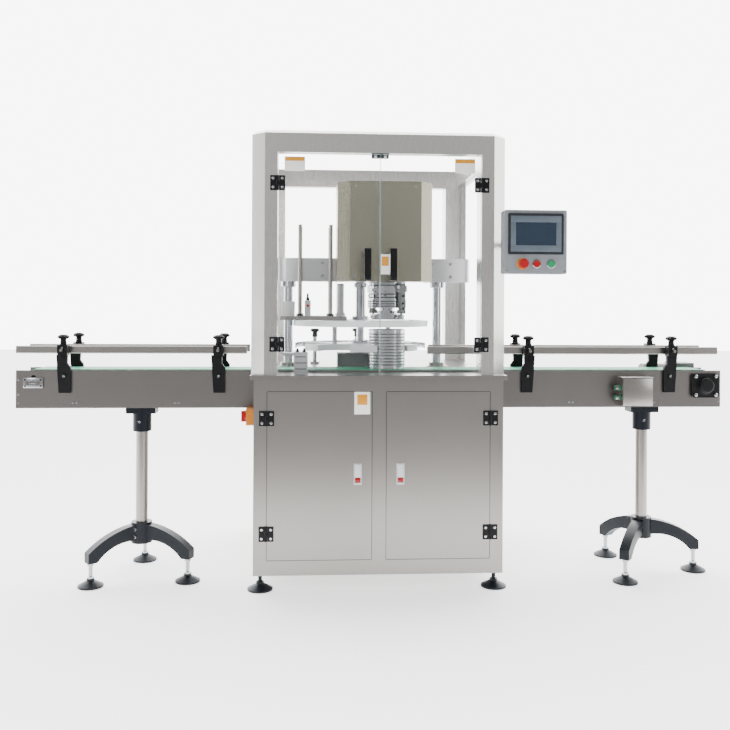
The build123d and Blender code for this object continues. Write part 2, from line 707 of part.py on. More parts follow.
# ---------------------------------------------------------------- conveyor
roller_inset = 72
roller_length = belt_width
end_shaft_radius = 10
belt_slack = 0.3
belt_inner_top = side_plate_top
end_roller_z = belt_inner_top - belt_slack - roller_radius
end_roller_x = half_conveyor - roller_inset
flange_lip = 18
bed_thickness = 4
cross_bar_height = 30
cross_bar_pitch = 420
cross_bar_count = 7
saddle_width = 124
tensioner_x = -end_roller_x
tensioner_z = 834
with BuildPart() as conveyor_frame:
    for y0, lip_y0 in ((lane_front, lane_front), (lane_back - side_plate_thickness, lane_back - flange_lip)):
        box_at(-half_conveyor, half_conveyor, y0, y0 + side_plate_thickness, side_plate_bottom, side_plate_top)
        box_at(-half_conveyor, half_conveyor, lip_y0, lip_y0 + flange_lip, side_plate_bottom,
               side_plate_bottom + side_plate_thickness)
    bed_top = belt_inner_top - belt_slack
    box_at(-end_roller_x + 60, end_roller_x - 60, lane_front, lane_back, bed_top - bed_thickness, bed_top)
    for step in range(cross_bar_count):
        x = (step - (cross_bar_count - 1) / 2) * cross_bar_pitch
        box_at(x - 20, x + 20, lane_front, lane_back, side_plate_bottom, side_plate_bottom + cross_bar_height)
    for x in stands_x:
        box_at(x - saddle_width / 2, x + saddle_width / 2, lane_front, lane_back, side_plate_bottom,
               side_plate_bottom + side_plate_thickness)
    for x in (-end_roller_x, end_roller_x):
        rod_y(x, lane_front, lane_back, end_roller_z, end_shaft_radius + pin_gap, mode=Mode.SUBTRACT)
    box_at(tensioner_x - 42, tensioner_x + 42, lane_front - 6, lane_front, tensioner_z - 22, tensioner_z + 23)
    for x in (tensioner_x - 20, tensioner_x + 20):
        rod_y(x, lane_front - 14, lane_front - 6, tensioner_z, 9)
    rod_x(tensioner_x - 20, tensioner_x + 20, lane_front - 10, tensioner_z, 3)
save(conveyor_frame.part, "conveyor_frame")

with BuildPart() as conveyor_belt:
    with BuildSketch(Plane.XZ.offset(-conveyor_y - belt_width / 2)):
        with Locations((0, end_roller_z)):
            SlotCenterToCenter(2 * end_roller_x, 2 * (roller_radius + belt_slack + belt_thickness))
            SlotCenterToCenter(2 * end_roller_x, 2 * (roller_radius + belt_slack), mode=Mode.SUBTRACT)
    extrude(amount=belt_width)
save(conveyor_belt.part, "conveyor_belt")

for side, name in ((-1, "tail_roller"), (1, "drive_roller")):
    with BuildPart() as end_roller:
        x = side * end_roller_x
        rod_y(x, conveyor_y - roller_length / 2, conveyor_y + roller_length / 2, end_roller_z, roller_radius)
        rod_y(x, lane_front + running_gap, lane_back + (40 if side > 0 else 0), end_roller_z, end_shaft_radius)
    save(end_roller.part, name)

cover_half = 60.5
bearing_cover_height = 104
bearing_cover_z = side_plate_top - 12 - bearing_cover_height / 2
bearing_dome_radius = 33
bearing_x = end_roller_x
bolt_radius = 6
with BuildPart() as bearing_cover:
    box_at(bearing_x - cover_half, bearing_x + cover_half, lane_front - 14, lane_front,
           bearing_cover_z - bearing_cover_height / 2, bearing_cover_z + bearing_cover_height / 2)
    fillet(bearing_cover.edges().filter_by(Axis.Y), 14)
    rod_y(bearing_x, lane_front - 34, lane_front - 14, bearing_cover_z, bearing_dome_radius)
    fillet(bearing_cover.faces().sort_by(Axis.Y)[0].edges(), 10)
    for dx in (-44, 44):
        for dz in (-40, 40):
            rod_y(bearing_x + dx, lane_front - 19, lane_front - 14, bearing_cover_z + dz, bolt_radius)
save(bearing_cover.part, "bearing_cover")

motor_z = end_roller_z
with BuildPart() as gear_motor:
    box_at(end_roller_x - 50, end_roller_x + 40, lane_back, lane_back + 112, motor_z - 50, motor_z + 50)
    rod_x(end_roller_x - 180, end_roller_x - 50, lane_back + 67, motor_z, 44)
    rod_y(end_roller_x, lane_back, lane_back + 40, motor_z, end_shaft_radius + pin_gap, mode=Mode.SUBTRACT)
save(gear_motor.part, "gear_motor")

control_left = end_roller_x - 388
control_width = 128
control_bottom = 742
control_height = 119
control_depth = 78
gland_radius = 11
with BuildPart() as control_box:
    box_at(control_left, control_left + control_width, lane_front - control_depth, lane_front,
           control_bottom, control_bottom + control_height)
    fillet(control_box.edges().filter_by(Axis.X).group_by(Axis.Y)[0], 5)
    for z in (control_bottom + 34, control_bottom + 74):
        rod_x(control_left - 20, control_left, lane_front - control_depth / 2, z, gland_radius)
save(control_box.part, "control_box")

# ---------------------------------------------------------------- side rails and their brackets
bracket_xs = (-half_conveyor + 200, -half_guard - 141, half_guard + 123, half_conveyor - 230)
rail_spans = {"left": (-1500, -548), "right": (216, 1486)}
back_rail_start = 244
rail_rod_radius = 6
rail_rod_length = 62
bracket_thickness = 14
bracket_head = 40
bracket_bottom = 794
head_bottom = 951
head_top = 995
knob_radius = 22
arm_half_low = 26
arm_toe = 22
arm_shoulder = 32
arm_neck = 14
arm_lean = 12
arm_waist = 900
arm_waist_top = 918
rail_middle = rail_bottom + rail_height / 2
for place, away in (("front", -1), ("back", 1)):
    inner = conveyor_y + away * rail_gap / 2
    outer = inner + away * rail_thickness
    for hand, (x0, x1) in rail_spans.items():
        start = back_rail_start if (place, hand) == ("back", "right") else x0
        with BuildPart() as rail:
            y0, y1 = sorted((inner, outer))
            box_at(start, x1, y0, y1, rail_bottom, rail_bottom + rail_height)
            fillet(rail.edges().filter_by(Axis.X), 4)
            for x in bracket_xs:
                if start < x < x1:
                    rod_y0, rod_y1 = sorted((outer, outer + away * rail_rod_length))
                    rod_y(x, rod_y0, rod_y1, rail_middle, rail_rod_radius)
        save(rail.part, f"rail_{place}_{hand}")

with BuildPart() as clamp_knob:
    with BuildSketch(Plane.XZ):
        with BuildLine():
            Polyline((0, 0), (14, 0), (12, 14), (12, 22), (knob_radius, 27), (knob_radius, 35),
                     (knob_radius - 6, 40), (0, 40), close=True)
        make_face()
    revolve(axis=Axis.Z)

with BuildPart() as rail_brackets:
    for x in bracket_xs:
        side = 1 if x > 0 else -1
        for away, plate_y in ((-1, lane_front), (1, lane_back)):
            with BuildSketch(Plane.XZ.offset(-plate_y if away < 0 else -plate_y - bracket_thickness)):
                with BuildLine():
                    Polyline((x - side * arm_half_low, bracket_bottom),
                             (x + side * arm_toe, bracket_bottom),
                             (x + side * arm_shoulder, head_bottom),
                             (x - side * arm_neck, head_bottom),
                             (x - side * arm_lean, arm_waist_top),
                             (x - side * arm_half_low, arm_waist), close=True)
                make_face()
            extrude(amount=bracket_thickness)
            y0, y1 = sorted((plate_y + away * 4, plate_y + away * (4 + bracket_head)))
            box_at(x - bracket_head / 2, x + bracket_head / 2, y0, y1, head_bottom, head_top)
            rod_y(x, y0, y1, rail_middle, rail_rod_radius + pin_gap, mode=Mode.SUBTRACT)
            rod_y(x, *sorted((plate_y + away * bracket_thickness, plate_y + away * (bracket_thickness + 5))),
                  864, 8)
    for x in bracket_xs:
        for away, plate_y in ((-1, lane_front), (1, lane_back)):
            with Locations((x, plate_y + away * (4 + bracket_head / 2), head_top + seat_gap)):
                add(clamp_knob.part)
    for angle in guide_angles:
        guide_x = wheel_x + guide_post_circle * cos(radians(angle))
        guide_y = wheel_y + guide_post_circle * sin(radians(angle))
        with Locations((guide_x, guide_y, guide_post_top + seat_gap)):
            add(clamp_knob.part)
save(rail_brackets.part, "rail_brackets")

# ---------------------------------------------------------------- conveyor stands
saddle_half_depth = 38
saddle_thickness = 30
socket_radius = 39
socket_bottom = 622
pole_bottom = 150
pole_top = side_plate_bottom - 12
hub_radius = 44
hub_bottom = 146
hub_top = 234
leg_width = 42
leg_tip_bottom = 98
leg_tip_side = 138
leg_stem_top = 139
hub_joint_top = 226
hub_joint_bottom = 160
leg_top_mid = 199
leg_under_mid = 149
bottom_start = (hub_radius - 8, hub_joint_bottom)
top_start = (hub_radius - 8, hub_joint_top)
stand_turns = (-22.8, -7.4)
tip_end = leg_reach + 18
tip_start = leg_reach - 20
with BuildPart() as stand_leg:
    with BuildSketch(Plane.XZ.offset(-leg_width / 2)):
        with BuildLine():
            Line(bottom_start, top_start)
            ThreePointArc(top_start, (leg_reach * 0.64, leg_top_mid), (tip_end, leg_tip_side))
            Line((tip_end, leg_tip_side), (tip_end, leg_tip_bottom))
            Line((tip_end, leg_tip_bottom), (tip_start, leg_tip_bottom))
            ThreePointArc((tip_start, leg_tip_bottom), (leg_reach * 0.6, leg_under_mid), bottom_start)
        make_face()
    extrude(amount=leg_width)

with BuildPart() as stand_castings:
    for x, turn in zip(stands_x, stand_turns):
        box_at(x - saddle_width / 2, x + saddle_width / 2, stand_y - saddle_half_depth,
               stand_y + saddle_half_depth, side_plate_bottom - saddle_thickness, side_plate_bottom)
        rod(x, stand_y, socket_bottom, side_plate_bottom, socket_radius)
        rod(x, stand_y, socket_bottom, pole_top, pole_radius, mode=Mode.SUBTRACT)
        rod(x, stand_y, hub_bottom, hub_top, hub_radius)
        for leg in range(3):
            with Locations(Location((x, stand_y, 0), (0, 0, turn + leg * 120))):
                add(stand_leg.part)
        rod(x, stand_y, pole_bottom, hub_top, pole_radius, mode=Mode.SUBTRACT)
        for leg in range(3):
            with Locations(Location((x, stand_y, 0), (0, 0, turn + leg * 120))):
                with Locations((leg_reach, 0, leg_stem_top / 2)):
                    Cylinder(stem_radius, leg_stem_top, mode=Mode.SUBTRACT)
save(stand_castings.part, "stand_castings")

with BuildPart() as stand_poles:
    for x in stands_x:
        rod(x, stand_y, pole_bottom, pole_top, pole_radius)
save(stand_poles.part, "stand_poles")

with BuildPart() as stand_foot:
    with BuildSketch(Plane.XZ):
        with BuildLine():
            Polyline((0, 0), (foot_radius, 0), (foot_radius, 7), (30, foot_height - 7), (16, foot_height),
                     (16, foot_height + 8), (stem_radius, foot_height + 8), (stem_radius, leg_stem_top),
                     (0, leg_stem_top), close=True)
        make_face()
    revolve(axis=Axis.Z)

with BuildPart() as levelling_feet:
    for x in (-level_foot_x, level_foot_x):
        for y in (front_y + level_foot_inset, cabinet_back_y - level_foot_inset):
            with Locations((x, y, 0)):
                add(cabinet_foot.part)
    for x, turn in zip(stands_x, stand_turns):
        for leg in range(3):
            with Locations(Location((x, stand_y, 0), (0, 0, turn + leg * 120))):
                with Locations((leg_reach, 0, 0)):
                    add(stand_foot.part)
save(levelling_feet.part, "levelling_feet")

# ---------------------------------------------------------------- operator panel
panel_back_y = front_y - 10
panel_front_y = panel_back_y - panel_depth
panel_shell = 2
pivot_x = half_guard + 79
pivot_y = panel_back_y + 15
pivot_z = panel_bottom + panel_height / 2
pivot_radius = 8
arm_half = 10
button_row_z = panel_bottom + 40
button_xs = {"emergency_stop": panel_left + 73, "stop_button": panel_left + 130, "start_button": panel_left + 189}
button_hole = 11.3
button_stem = 11
lug_gap = 22
lug_thickness = 8
with BuildPart() as panel_box:
    box_at(panel_left, panel_left + panel_width, panel_front_y, panel_back_y, panel_bottom,
           panel_bottom + panel_height)
    fillet(panel_box.edges().filter_by(Axis.Y), 6)
    box_at(panel_left + panel_shell, panel_left + panel_width - panel_shell, panel_front_y + panel_shell,
           panel_back_y - panel_shell, panel_bottom + panel_shell, panel_bottom + panel_height - panel_shell,
           mode=Mode.SUBTRACT)
    for x in button_xs.values():
        rod_y(x, panel_front_y, panel_front_y + panel_shell, button_row_z, button_hole, mode=Mode.SUBTRACT)
    for side in (-1, 1):
        z0, z1 = sorted((pivot_z + side * lug_gap, pivot_z + side * (lug_gap + lug_thickness)))
        box_at(pivot_x - 12, pivot_x + 12, panel_back_y, pivot_y, z0, z1)
        rod(pivot_x, pivot_y, z0, z1, 12)
        rod(pivot_x, pivot_y, z0, z1, pivot_radius + pin_gap, mode=Mode.SUBTRACT)
save(panel_box.part, "panel_box")

with BuildPart() as panel_arm:
    box_at(half_guard, half_guard + 6, front_y + post_chamfer + 2, front_y + post_size - 4, pivot_z - 40,
           pivot_z + 40)
    arm_y = front_y + 80
    box_at(half_guard, pivot_x + arm_half, arm_y - arm_half, arm_y + arm_half, pivot_z - arm_half, pivot_z + arm_half)
    box_at(pivot_x - arm_half, pivot_x + arm_half, pivot_y, arm_y, pivot_z - arm_half, pivot_z + arm_half)
    rod(pivot_x, pivot_y, pivot_z - lug_gap + 1, pivot_z + lug_gap - 1, 13)
    rod(pivot_x, pivot_y, pivot_z - lug_gap - lug_thickness - 3, pivot_z + lug_gap + lug_thickness + 3, pivot_radius)
save(panel_arm.part, "panel_arm")

screen_x0 = panel_left + 14
screen_x1 = panel_left + 238
screen_z0 = panel_bottom + 78
screen_z1 = panel_bottom + 242
with BuildPart() as panel_screen:
    box_at(screen_x0, screen_x1, panel_front_y - 6, panel_front_y, screen_z0, screen_z1)
    fillet(panel_screen.edges().filter_by(Axis.Y), 4)
    box_at(screen_x0 + 28, screen_x1 - 28, panel_front_y - 6, panel_front_y - 4, screen_z0 + 34,
           screen_z1 - 34, mode=Mode.SUBTRACT)
save(panel_screen.part, "panel_screen")

stop_reach = 30
stop_cap_radius = 20
push_reach = 11
push_cap_radius = 14
push_travel = 3
stem_depth = 28
with BuildPart() as emergency_stop:
    x = button_xs["emergency_stop"]
    rod_y(x, panel_front_y - stop_reach, panel_front_y - stop_reach + 14, button_row_z, stop_cap_radius)
    fillet(emergency_stop.faces().sort_by(Axis.Y)[0].edges(), 5)
    rod_y(x, panel_front_y - stop_reach + 14, panel_front_y + stem_depth, button_row_z, button_stem)
save(emergency_stop.part, "emergency_stop")
for name in ("stop_button", "start_button"):
    with BuildPart() as push_button:
        x = button_xs[name]
        rod_y(x, panel_front_y - push_reach, panel_front_y - push_travel - 1, button_row_z, push_cap_radius)
        fillet(push_button.faces().sort_by(Axis.Y)[0].edges(), 2)
        rod_y(x, panel_front_y - push_travel - 1, panel_front_y + stem_depth, button_row_z, button_stem)
    save(push_button.part, name)

# ---------------------------------------------------------------- main isolator on the cabinet side
isolator_y = front_y + 90
isolator_z = 703
isolator_size = 70
isolator_depth = 34
isolator_shaft = 8
with BuildPart() as isolator_plate:
    box_at(-half_cabinet - isolator_depth, -half_cabinet, isolator_y - isolator_size / 2,
           isolator_y + isolator_size / 2, isolator_z - isolator_size / 2, isolator_z + isolator_size / 2)
    fillet(isolator_plate.edges().filter_by(Axis.X), 8)
    rod_x(-half_cabinet - isolator_depth, -half_cabinet, isolator_y, isolator_z, isolator_shaft + pin_gap,
          mode=Mode.SUBTRACT)
save(isolator_plate.part, "isolator_plate")

with BuildPart() as isolator_knob:
    knob_x = -half_cabinet - isolator_depth - running_gap
    rod_x(knob_x - 6, knob_x, isolator_y, isolator_z, 24)
    box_at(knob_x - 22, knob_x - 6, isolator_y - 6, isolator_y + 6, isolator_z - 22, isolator_z + 22)
    rod_x(knob_x, -half_cabinet - 2, isolator_y, isolator_z, isolator_shaft)
save(isolator_knob.part, "isolator_knob")

# ---------------------------------------------------------------- small units inside the guard
valve_x0 = -350
valve_x1 = -292
valve_y0 = -400
valve_y1 = -350
valve_top = 968
with BuildPart() as valve_block:
    box_at(valve_x0, valve_x1, valve_y0, valve_y1, worktop_top, valve_top)
    rod_x(valve_x0 - 46, valve_x0, (valve_y0 + valve_y1) / 2, valve_top - 8, 7)
save(valve_block.part, "valve_block")
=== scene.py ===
"""Looks of a can capping machine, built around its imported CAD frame. Lengths are metres, Z is up."""

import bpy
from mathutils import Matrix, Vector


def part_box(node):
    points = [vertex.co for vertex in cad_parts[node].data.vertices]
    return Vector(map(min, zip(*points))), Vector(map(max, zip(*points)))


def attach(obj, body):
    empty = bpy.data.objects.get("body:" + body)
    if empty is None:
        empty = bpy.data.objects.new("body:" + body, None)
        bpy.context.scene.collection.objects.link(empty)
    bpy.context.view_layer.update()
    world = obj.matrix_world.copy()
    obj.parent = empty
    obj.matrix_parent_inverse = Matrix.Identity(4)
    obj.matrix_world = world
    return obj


bl_info = {
    "name": "Can Capping Machine",
    "version": (1, 0, 0),
    "blender": (4, 5, 0),
    "location": "View3D > Sidebar > Capping Machine",
    "description": "Dresses the capping machine with its finishes, fasteners and trim",
    "category": "Add Mesh",
}

from math import cos, pi, radians, sin

import bmesh
import bpy
from mathutils import Matrix, Vector

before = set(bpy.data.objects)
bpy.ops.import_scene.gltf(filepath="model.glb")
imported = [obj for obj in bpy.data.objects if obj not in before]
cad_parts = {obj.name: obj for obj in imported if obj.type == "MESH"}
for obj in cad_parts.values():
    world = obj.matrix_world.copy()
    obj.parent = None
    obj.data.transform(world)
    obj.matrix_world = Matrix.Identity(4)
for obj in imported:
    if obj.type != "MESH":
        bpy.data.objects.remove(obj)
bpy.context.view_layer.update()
MM = 0.001

# ------------------------------------------------------------------ sizes that a user would change


class MachineFinish(bpy.types.PropertyGroup):
    """Colours of the large surfaces."""

    steel: bpy.props.StringProperty(name="Brushed steel", description="Colour of doors and frames",
                                    default="#96928E")
    guard_clear: bpy.props.FloatProperty(name="Guard opacity", description="How much the clear guard hides",
                                         default=0.02, min=0.0, max=1.0, subtype="FACTOR")
    belt: bpy.props.StringProperty(name="Belt", description="Colour of the conveyor belt", default="#3A9A76")


class MachineTrim(bpy.types.PropertyGroup):
    """Sizes of the small trim."""

    screw_radius: bpy.props.FloatProperty(name="Screw head radius", description="Radius of the hinge screws",
                                          default=0.0055, min=0.002, max=0.02, unit="LENGTH")
    bolt_radius: bpy.props.FloatProperty(name="Bolt head radius", description="Radius of the cap screws",
                                         default=0.0075, min=0.002, max=0.03, unit="LENGTH")
    label_height: bpy.props.FloatProperty(name="Label height", description="Height of the cabinet label",
                                          default=0.091, min=0.02, max=0.3, unit="LENGTH")


# ------------------------------------------------------------------ materials


def linear(hex_colour):
    """An sRGB hex value as the linear colour that a shader takes."""
    channels = [int(hex_colour[i:i + 2], 16) / 255 for i in (1, 3, 5)]
    return tuple(c / 12.92 if c <= 0.04045 else ((c + 0.055) / 1.055) ** 2.4 for c in channels) + (1.0,)


def add_node(tree, kind, links=(), **settings):
    """Add one node; settings name its properties or inputs, and links are (input, source socket) pairs."""
    made = tree.nodes.new(kind)
    for key, value in settings.items():
        socket = key.replace("_", " ")
        if hasattr(made, key):
            setattr(made, key, value)
        else:
            made.inputs[socket].default_value = value
    for name, source in links:
        tree.links.new(source, made.inputs[name])
    return made


def start_material(name, hex_colour, roughness, metallic=0.0, ior=None):
    """A material with its Principled shader set to one colour; returns it, its tree and the shader."""
    made = bpy.data.materials.new(name)
    made.use_nodes = True
    tree = made.node_tree
    shader = tree.nodes["Principled BSDF"]
    shader.inputs["Base Color"].default_value = linear(hex_colour)
    shader.inputs["Roughness"].default_value = roughness
    shader.inputs["Metallic"].default_value = metallic
    if ior is not None:
        shader.inputs["IOR"].default_value = ior
    made.diffuse_color = linear(hex_colour)
    return made, tree, shader


NOISE_RANGE = (0.3, 0.7)    # a noise texture's values mostly lie between these
CLOUD_SCALE = 1.1           # slow changes of tone over a sheet, in repeats per metre


def noise(tree, place, **settings):
    """A noise texture's value at a place, which is the object's coordinates or a mapping of them."""
    return add_node(tree, "ShaderNodeTexNoise", [("Vector", place)], **settings).outputs["Fac"]


def two_tones(tree, factor, hex_colour, spread):
    """A colour that runs from a little under to a little over its own tone as a noise changes."""
    base = Vector(linear(hex_colour)[:3])
    tone = add_node(tree, "ShaderNodeValToRGB", [("Fac", factor)])
    shares = (1 - spread, 1 + spread)
    for element, position, share in zip(tone.color_ramp.elements, NOISE_RANGE, shares):
        element.position = position
        element.color = (*(base * share), 1)
    return tone.outputs["Color"]


def stretch_value(tree, value, low, high, span=NOISE_RANGE):
    """A value that lies between the span's ends, stretched to run from low to high."""
    stretched = add_node(tree, "ShaderNodeMapRange", [("Value", value)],
                         From_Min=span[0], From_Max=span[1], To_Min=low, To_Max=high)
    return stretched.outputs["Result"]


def add_bump(tree, shader, height, strength, distance):
    """Raise the surface by a pattern; distance is in metres."""
    bump = add_node(tree, "ShaderNodeBump", [("Height", height)], Strength=strength, Distance=distance)
    tree.links.new(bump.outputs["Normal"], shader.inputs["Normal"])


def brushed_metal(name, hex_colour, grain, roughness=0.3, tint=0.01):
    """Sheet metal ground with a belt: fine scratches along one axis, with slow changes of tone.

    grain is the scratch pattern's scale along X, Y and Z, in repeats per metre.
    """
    made, tree, shader = start_material(name, hex_colour, roughness, metallic=1.0)
    place = add_node(tree, "ShaderNodeTexCoord").outputs["Object"]
    stretch = add_node(tree, "ShaderNodeMapping", [("Vector", place)], Scale=grain)
    scratches = noise(tree, stretch.outputs["Vector"], Scale=1.0, Detail=4.0, Roughness=0.6)
    clouds = noise(tree, place, Scale=CLOUD_SCALE, Detail=2.0)
    shaded = add_node(tree, "ShaderNodeVectorMath", [(0, two_tones(tree, scratches, hex_colour, tint))],
                      operation="SCALE")
    tree.links.new(stretch_value(tree, clouds, 0.93, 1.05), shaded.inputs["Scale"])
    tree.links.new(shaded.outputs["Vector"], shader.inputs["Base Color"])
    gloss = stretch_value(tree, scratches, roughness - 0.01, roughness + 0.01)
    tree.links.new(gloss, shader.inputs["Roughness"])
    add_bump(tree, shader, scratches, strength=0.01, distance=0.0001)
    return made


def grained_surface(name, hex_colour, roughness, grain_mm, bump_mm, ior=1.5, spread=0.08):
    """A moulded, cast or powder-coated skin: an even fine grain with a little change of tone."""
    made, tree, shader = start_material(name, hex_colour, roughness, ior=ior)
    place = add_node(tree, "ShaderNodeTexCoord").outputs["Object"]
    grain = noise(tree, place, Scale=1 / (grain_mm * MM), Detail=3.0)
    wear = noise(tree, place, Scale=9.0, Detail=3.0)
    tree.links.new(two_tones(tree, wear, hex_colour, spread), shader.inputs["Base Color"])
    gloss = stretch_value(tree, wear, max(roughness - 0.06, 0.02), roughness + 0.08)
    tree.links.new(gloss, shader.inputs["Roughness"])
    add_bump(tree, shader, grain, strength=0.35, distance=bump_mm * MM)
    return made


def clear_acrylic():
    """Extruded acrylic sheet, clear: nearly unseen face on, with a gloss and a faint cool tint."""
    made, tree, shader = start_material("PMMA_clear_sheet", "#C8D0D4", 0.04, ior=1.49)
    shader.inputs["Alpha"].default_value = bpy.context.scene.machine_finish.guard_clear
    place = add_node(tree, "ShaderNodeTexCoord").outputs["Object"]
    smears = noise(tree, place, Scale=3.0, Detail=4.0)
    tree.links.new(stretch_value(tree, smears, 0.03, 0.12, span=(0.4, 0.8)), shader.inputs["Roughness"])
    made.blend_method = "BLEND"
    return made


def conveyor_belt():
    """PVC belt with a fine woven impression: the real ribs are about 2 mm apart, drawn at 8 mm to show."""
    belt_colour = bpy.context.scene.machine_finish.belt
    made, tree, shader = start_material("PVC_belt_woven", belt_colour, 0.55, ior=1.53)
    place = add_node(tree, "ShaderNodeTexCoord").outputs["Object"]
    across, along = (add_node(tree, "ShaderNodeTexWave", [("Vector", place)], Scale=40.0, Distortion=0.4,
                              bands_direction=axis).outputs["Fac"] for axis in "XY")
    weave = add_node(tree, "ShaderNodeMath", [(0, across), (1, along)], operation="MULTIPLY")
    add_bump(tree, shader, weave.outputs["Value"], strength=0.4, distance=0.0004)
    return made


FINISH = {}
# Scratch patterns, in repeats per metre along X, Y and Z.
UPRIGHT, LEVEL = (1600, 1600, 9), (9, 1600, 1600)
TURNED, EVEN = (60, 60, 500), (200, 200, 200)


def make_finishes():
    """Every finish of the machine, by a short name."""
    steel = bpy.context.scene.machine_finish.steel
    # Stainless 304 sheet, belt ground: upright grain on doors and posts, level grain on long parts.
    FINISH["steel_upright"] = brushed_metal("stainless_304_brushed_upright", steel, UPRIGHT, 0.30)
    FINISH["steel_level"] = brushed_metal("stainless_304_brushed_level", steel, LEVEL, 0.28)
    FINISH["steel_dark"] = brushed_metal("stainless_304_brushed_side_plate", "#7E7A78", LEVEL, 0.30)
    FINISH["steel_light"] = brushed_metal("stainless_304_light_guard", "#CFCDCA", UPRIGHT, 0.27)
    FINISH["cover_steel"] = brushed_metal("stainless_304_cover", "#9A9684", UPRIGHT, 0.26)
    # Turned and polished stainless bar: bright, with faint rings from the lathe.
    FINISH["polished"] = brushed_metal("stainless_bar_polished", "#B2B4B8", (30, 30, 600), 0.16, tint=0.04)
    # Machined aluminium plate: pale and slightly diffuse.
    FINISH["aluminium"] = brushed_metal("aluminium_6061_machined", "#C6C7C9", (9, 1200, 1200), 0.38, tint=0.04)
    # Tinplate of the can; its beads reflect the machine and look darker than its wall.
    FINISH["tinplate"] = brushed_metal("tinplate_can_body", "#BFC1C2", TURNED, 0.22, tint=0.05)
    FINISH["bead_dark"] = brushed_metal("tinplate_bead", "#77797A", TURNED, 0.30, tint=0.03)
    # Fasteners: zinc-plated steel, and black-oxide steel on the seaming head.
    FINISH["screw_steel"] = brushed_metal("screw_steel_zinc", "#A9ABAE", EVEN, 0.2, tint=0.03)
    FINISH["steel_black"] = brushed_metal("steel_black_oxide", "#2C2E30", EVEN, 0.35, tint=0.05)
    # Castings: painted iron for gearboxes, powder-coated aluminium for the stands, satin zinc for latches.
    FINISH["cast_grey"] = grained_surface("cast_iron_painted_grey", "#5C605E", 0.45, 2.0, 0.25)
    FINISH["dark_casting"] = grained_surface("aluminium_casting_powder_black", "#0D131B", 0.34, 1.6, 0.12,
                                             ior=1.30)
    FINISH["latch_silver"] = grained_surface("zinc_latch_satin", "#D3D5D8", 0.3, 1.0, 0.02, spread=0.02)
    # Moulded polyamide: hinges, brackets, knobs, foot pads and cable glands.
    FINISH["black_plastic"] = grained_surface("polyamide_black_moulded", "#0B0C0E", 0.42, 1.2, 0.08, ior=1.28)
    FINISH["foot_rubber"] = grained_surface("polyamide_pad_slate", "#141A21", 0.45, 1.5, 0.1, ior=1.32)
    FINISH["gland_green"] = grained_surface("polyamide_gland_green", "#2E6B4F", 0.4, 1.0, 0.05)
    # Sheet UHMW polyethylene of the can wheel and the lid turret.
    FINISH["white_sheet"] = grained_surface("UHMW_PE_white", "#F3F3F6", 0.36, 3.0, 0.05, spread=0.02)
    # Operator panel: powder-coated steel box, ABS bezels and coated screen glass.
    FINISH["panel_grey"] = grained_surface("steel_box_powder_grey", "#83878C", 0.42, 1.4, 0.08, spread=0.03)
    FINISH["bezel_dark"] = grained_surface("ABS_bezel_anthracite", "#171B22", 0.38, 1.0, 0.05)
    FINISH["screen_frame"] = grained_surface("ABS_inner_frame_grey", "#55606B", 0.45, 1.0, 0.04)
    FINISH["screen_glass"] = grained_surface("screen_glass_coated", "#1E2D3D", 0.12, 6.0, 0.005, spread=0.03)
    # Buttons of polycarbonate, and the isolator's ABS plate.
    FINISH["red_plastic"] = grained_surface("polycarbonate_red", "#A00008", 0.22, 1.0, 0.02, spread=0.04)
    FINISH["green_plastic"] = grained_surface("polycarbonate_green", "#008C54", 0.22, 1.0, 0.02, spread=0.04)
    FINISH["yellow_plastic"] = grained_surface("ABS_yellow_plate", "#C87408", 0.35, 1.0, 0.03, spread=0.04)
    # Nitrile rubber of the belt rollers and the door gaskets.
    FINISH["roller_rubber"] = grained_surface("nitrile_roller_black", "#08090B", 0.6, 1.5, 0.1, ior=1.28)
    # Acrylic (PMMA) guard sheet, and its sawn edge.
    FINISH["acrylic"] = clear_acrylic()
    FINISH["edge_acrylic"] = grained_surface("PMMA_sawn_edge", "#8FA3A4", 0.35, 1.0, 0.02, spread=0.02)
    FINISH["belt"] = conveyor_belt()
    # Vinyl labels, plain.
    FINISH["label_white"] = grained_surface("vinyl_label_white", "#F1F1EC", 0.35, 2.0, 0.01, spread=0.02)
    FINISH["label_yellow"] = grained_surface("vinyl_label_yellow", "#D08A10", 0.35, 2.0, 0.01, spread=0.02)


CAD_FINISH = {
    "steel_upright": ("cabinet_door_left", "cabinet_door_right", "cabinet_frame", "cabinet_panels",
                      "stand_poles"),
    "steel_light": ("guard_frame",),
    "steel_level": ("worktop", "rail_back_left", "rail_back_right", "rail_front_left", "rail_front_right",
                    "panel_arm", "lid_magazine", "control_box"),
    "steel_dark": ("conveyor_frame",),
    "cover_steel": ("head_cover",),
    "polished": ("columns", "can_guide", "chuck", "quill", "seaming_head", "seaming_roller_first",
                 "seaming_roller_second", "turret_sleeve", "wheel_shaft"),
    "aluminium": ("head_bridge", "magazine_drive", "valve_block"),
    "tinplate": ("sample_can",),
    "cast_grey": ("cabinet_drives", "gear_motor", "seaming_drive", "seaming_lever_first",
                  "seaming_lever_second"),
    "black_plastic": ("door_hardware", "guard_fittings_left", "guard_fittings_right", "rail_brackets",
                      "cabinet_fittings_left", "cabinet_fittings_right", "bearing_cover"),
    "dark_casting": ("stand_castings",),
    "foot_rubber": ("levelling_feet",),
    "white_sheet": ("lid_turret", "can_wheel"),
    "panel_grey": ("panel_box",),
    "bezel_dark": ("panel_screen",),
    "red_plastic": ("emergency_stop", "stop_button", "latch_button_left", "latch_button_right",
                    "isolator_knob"),
    "green_plastic": ("start_button",),
    "yellow_plastic": ("isolator_plate",),
    "roller_rubber": ("drive_roller", "tail_roller"),
    "acrylic": ("guard_door_left", "guard_door_right", "guard_windows"),
    "belt": ("conveyor_belt",),
}


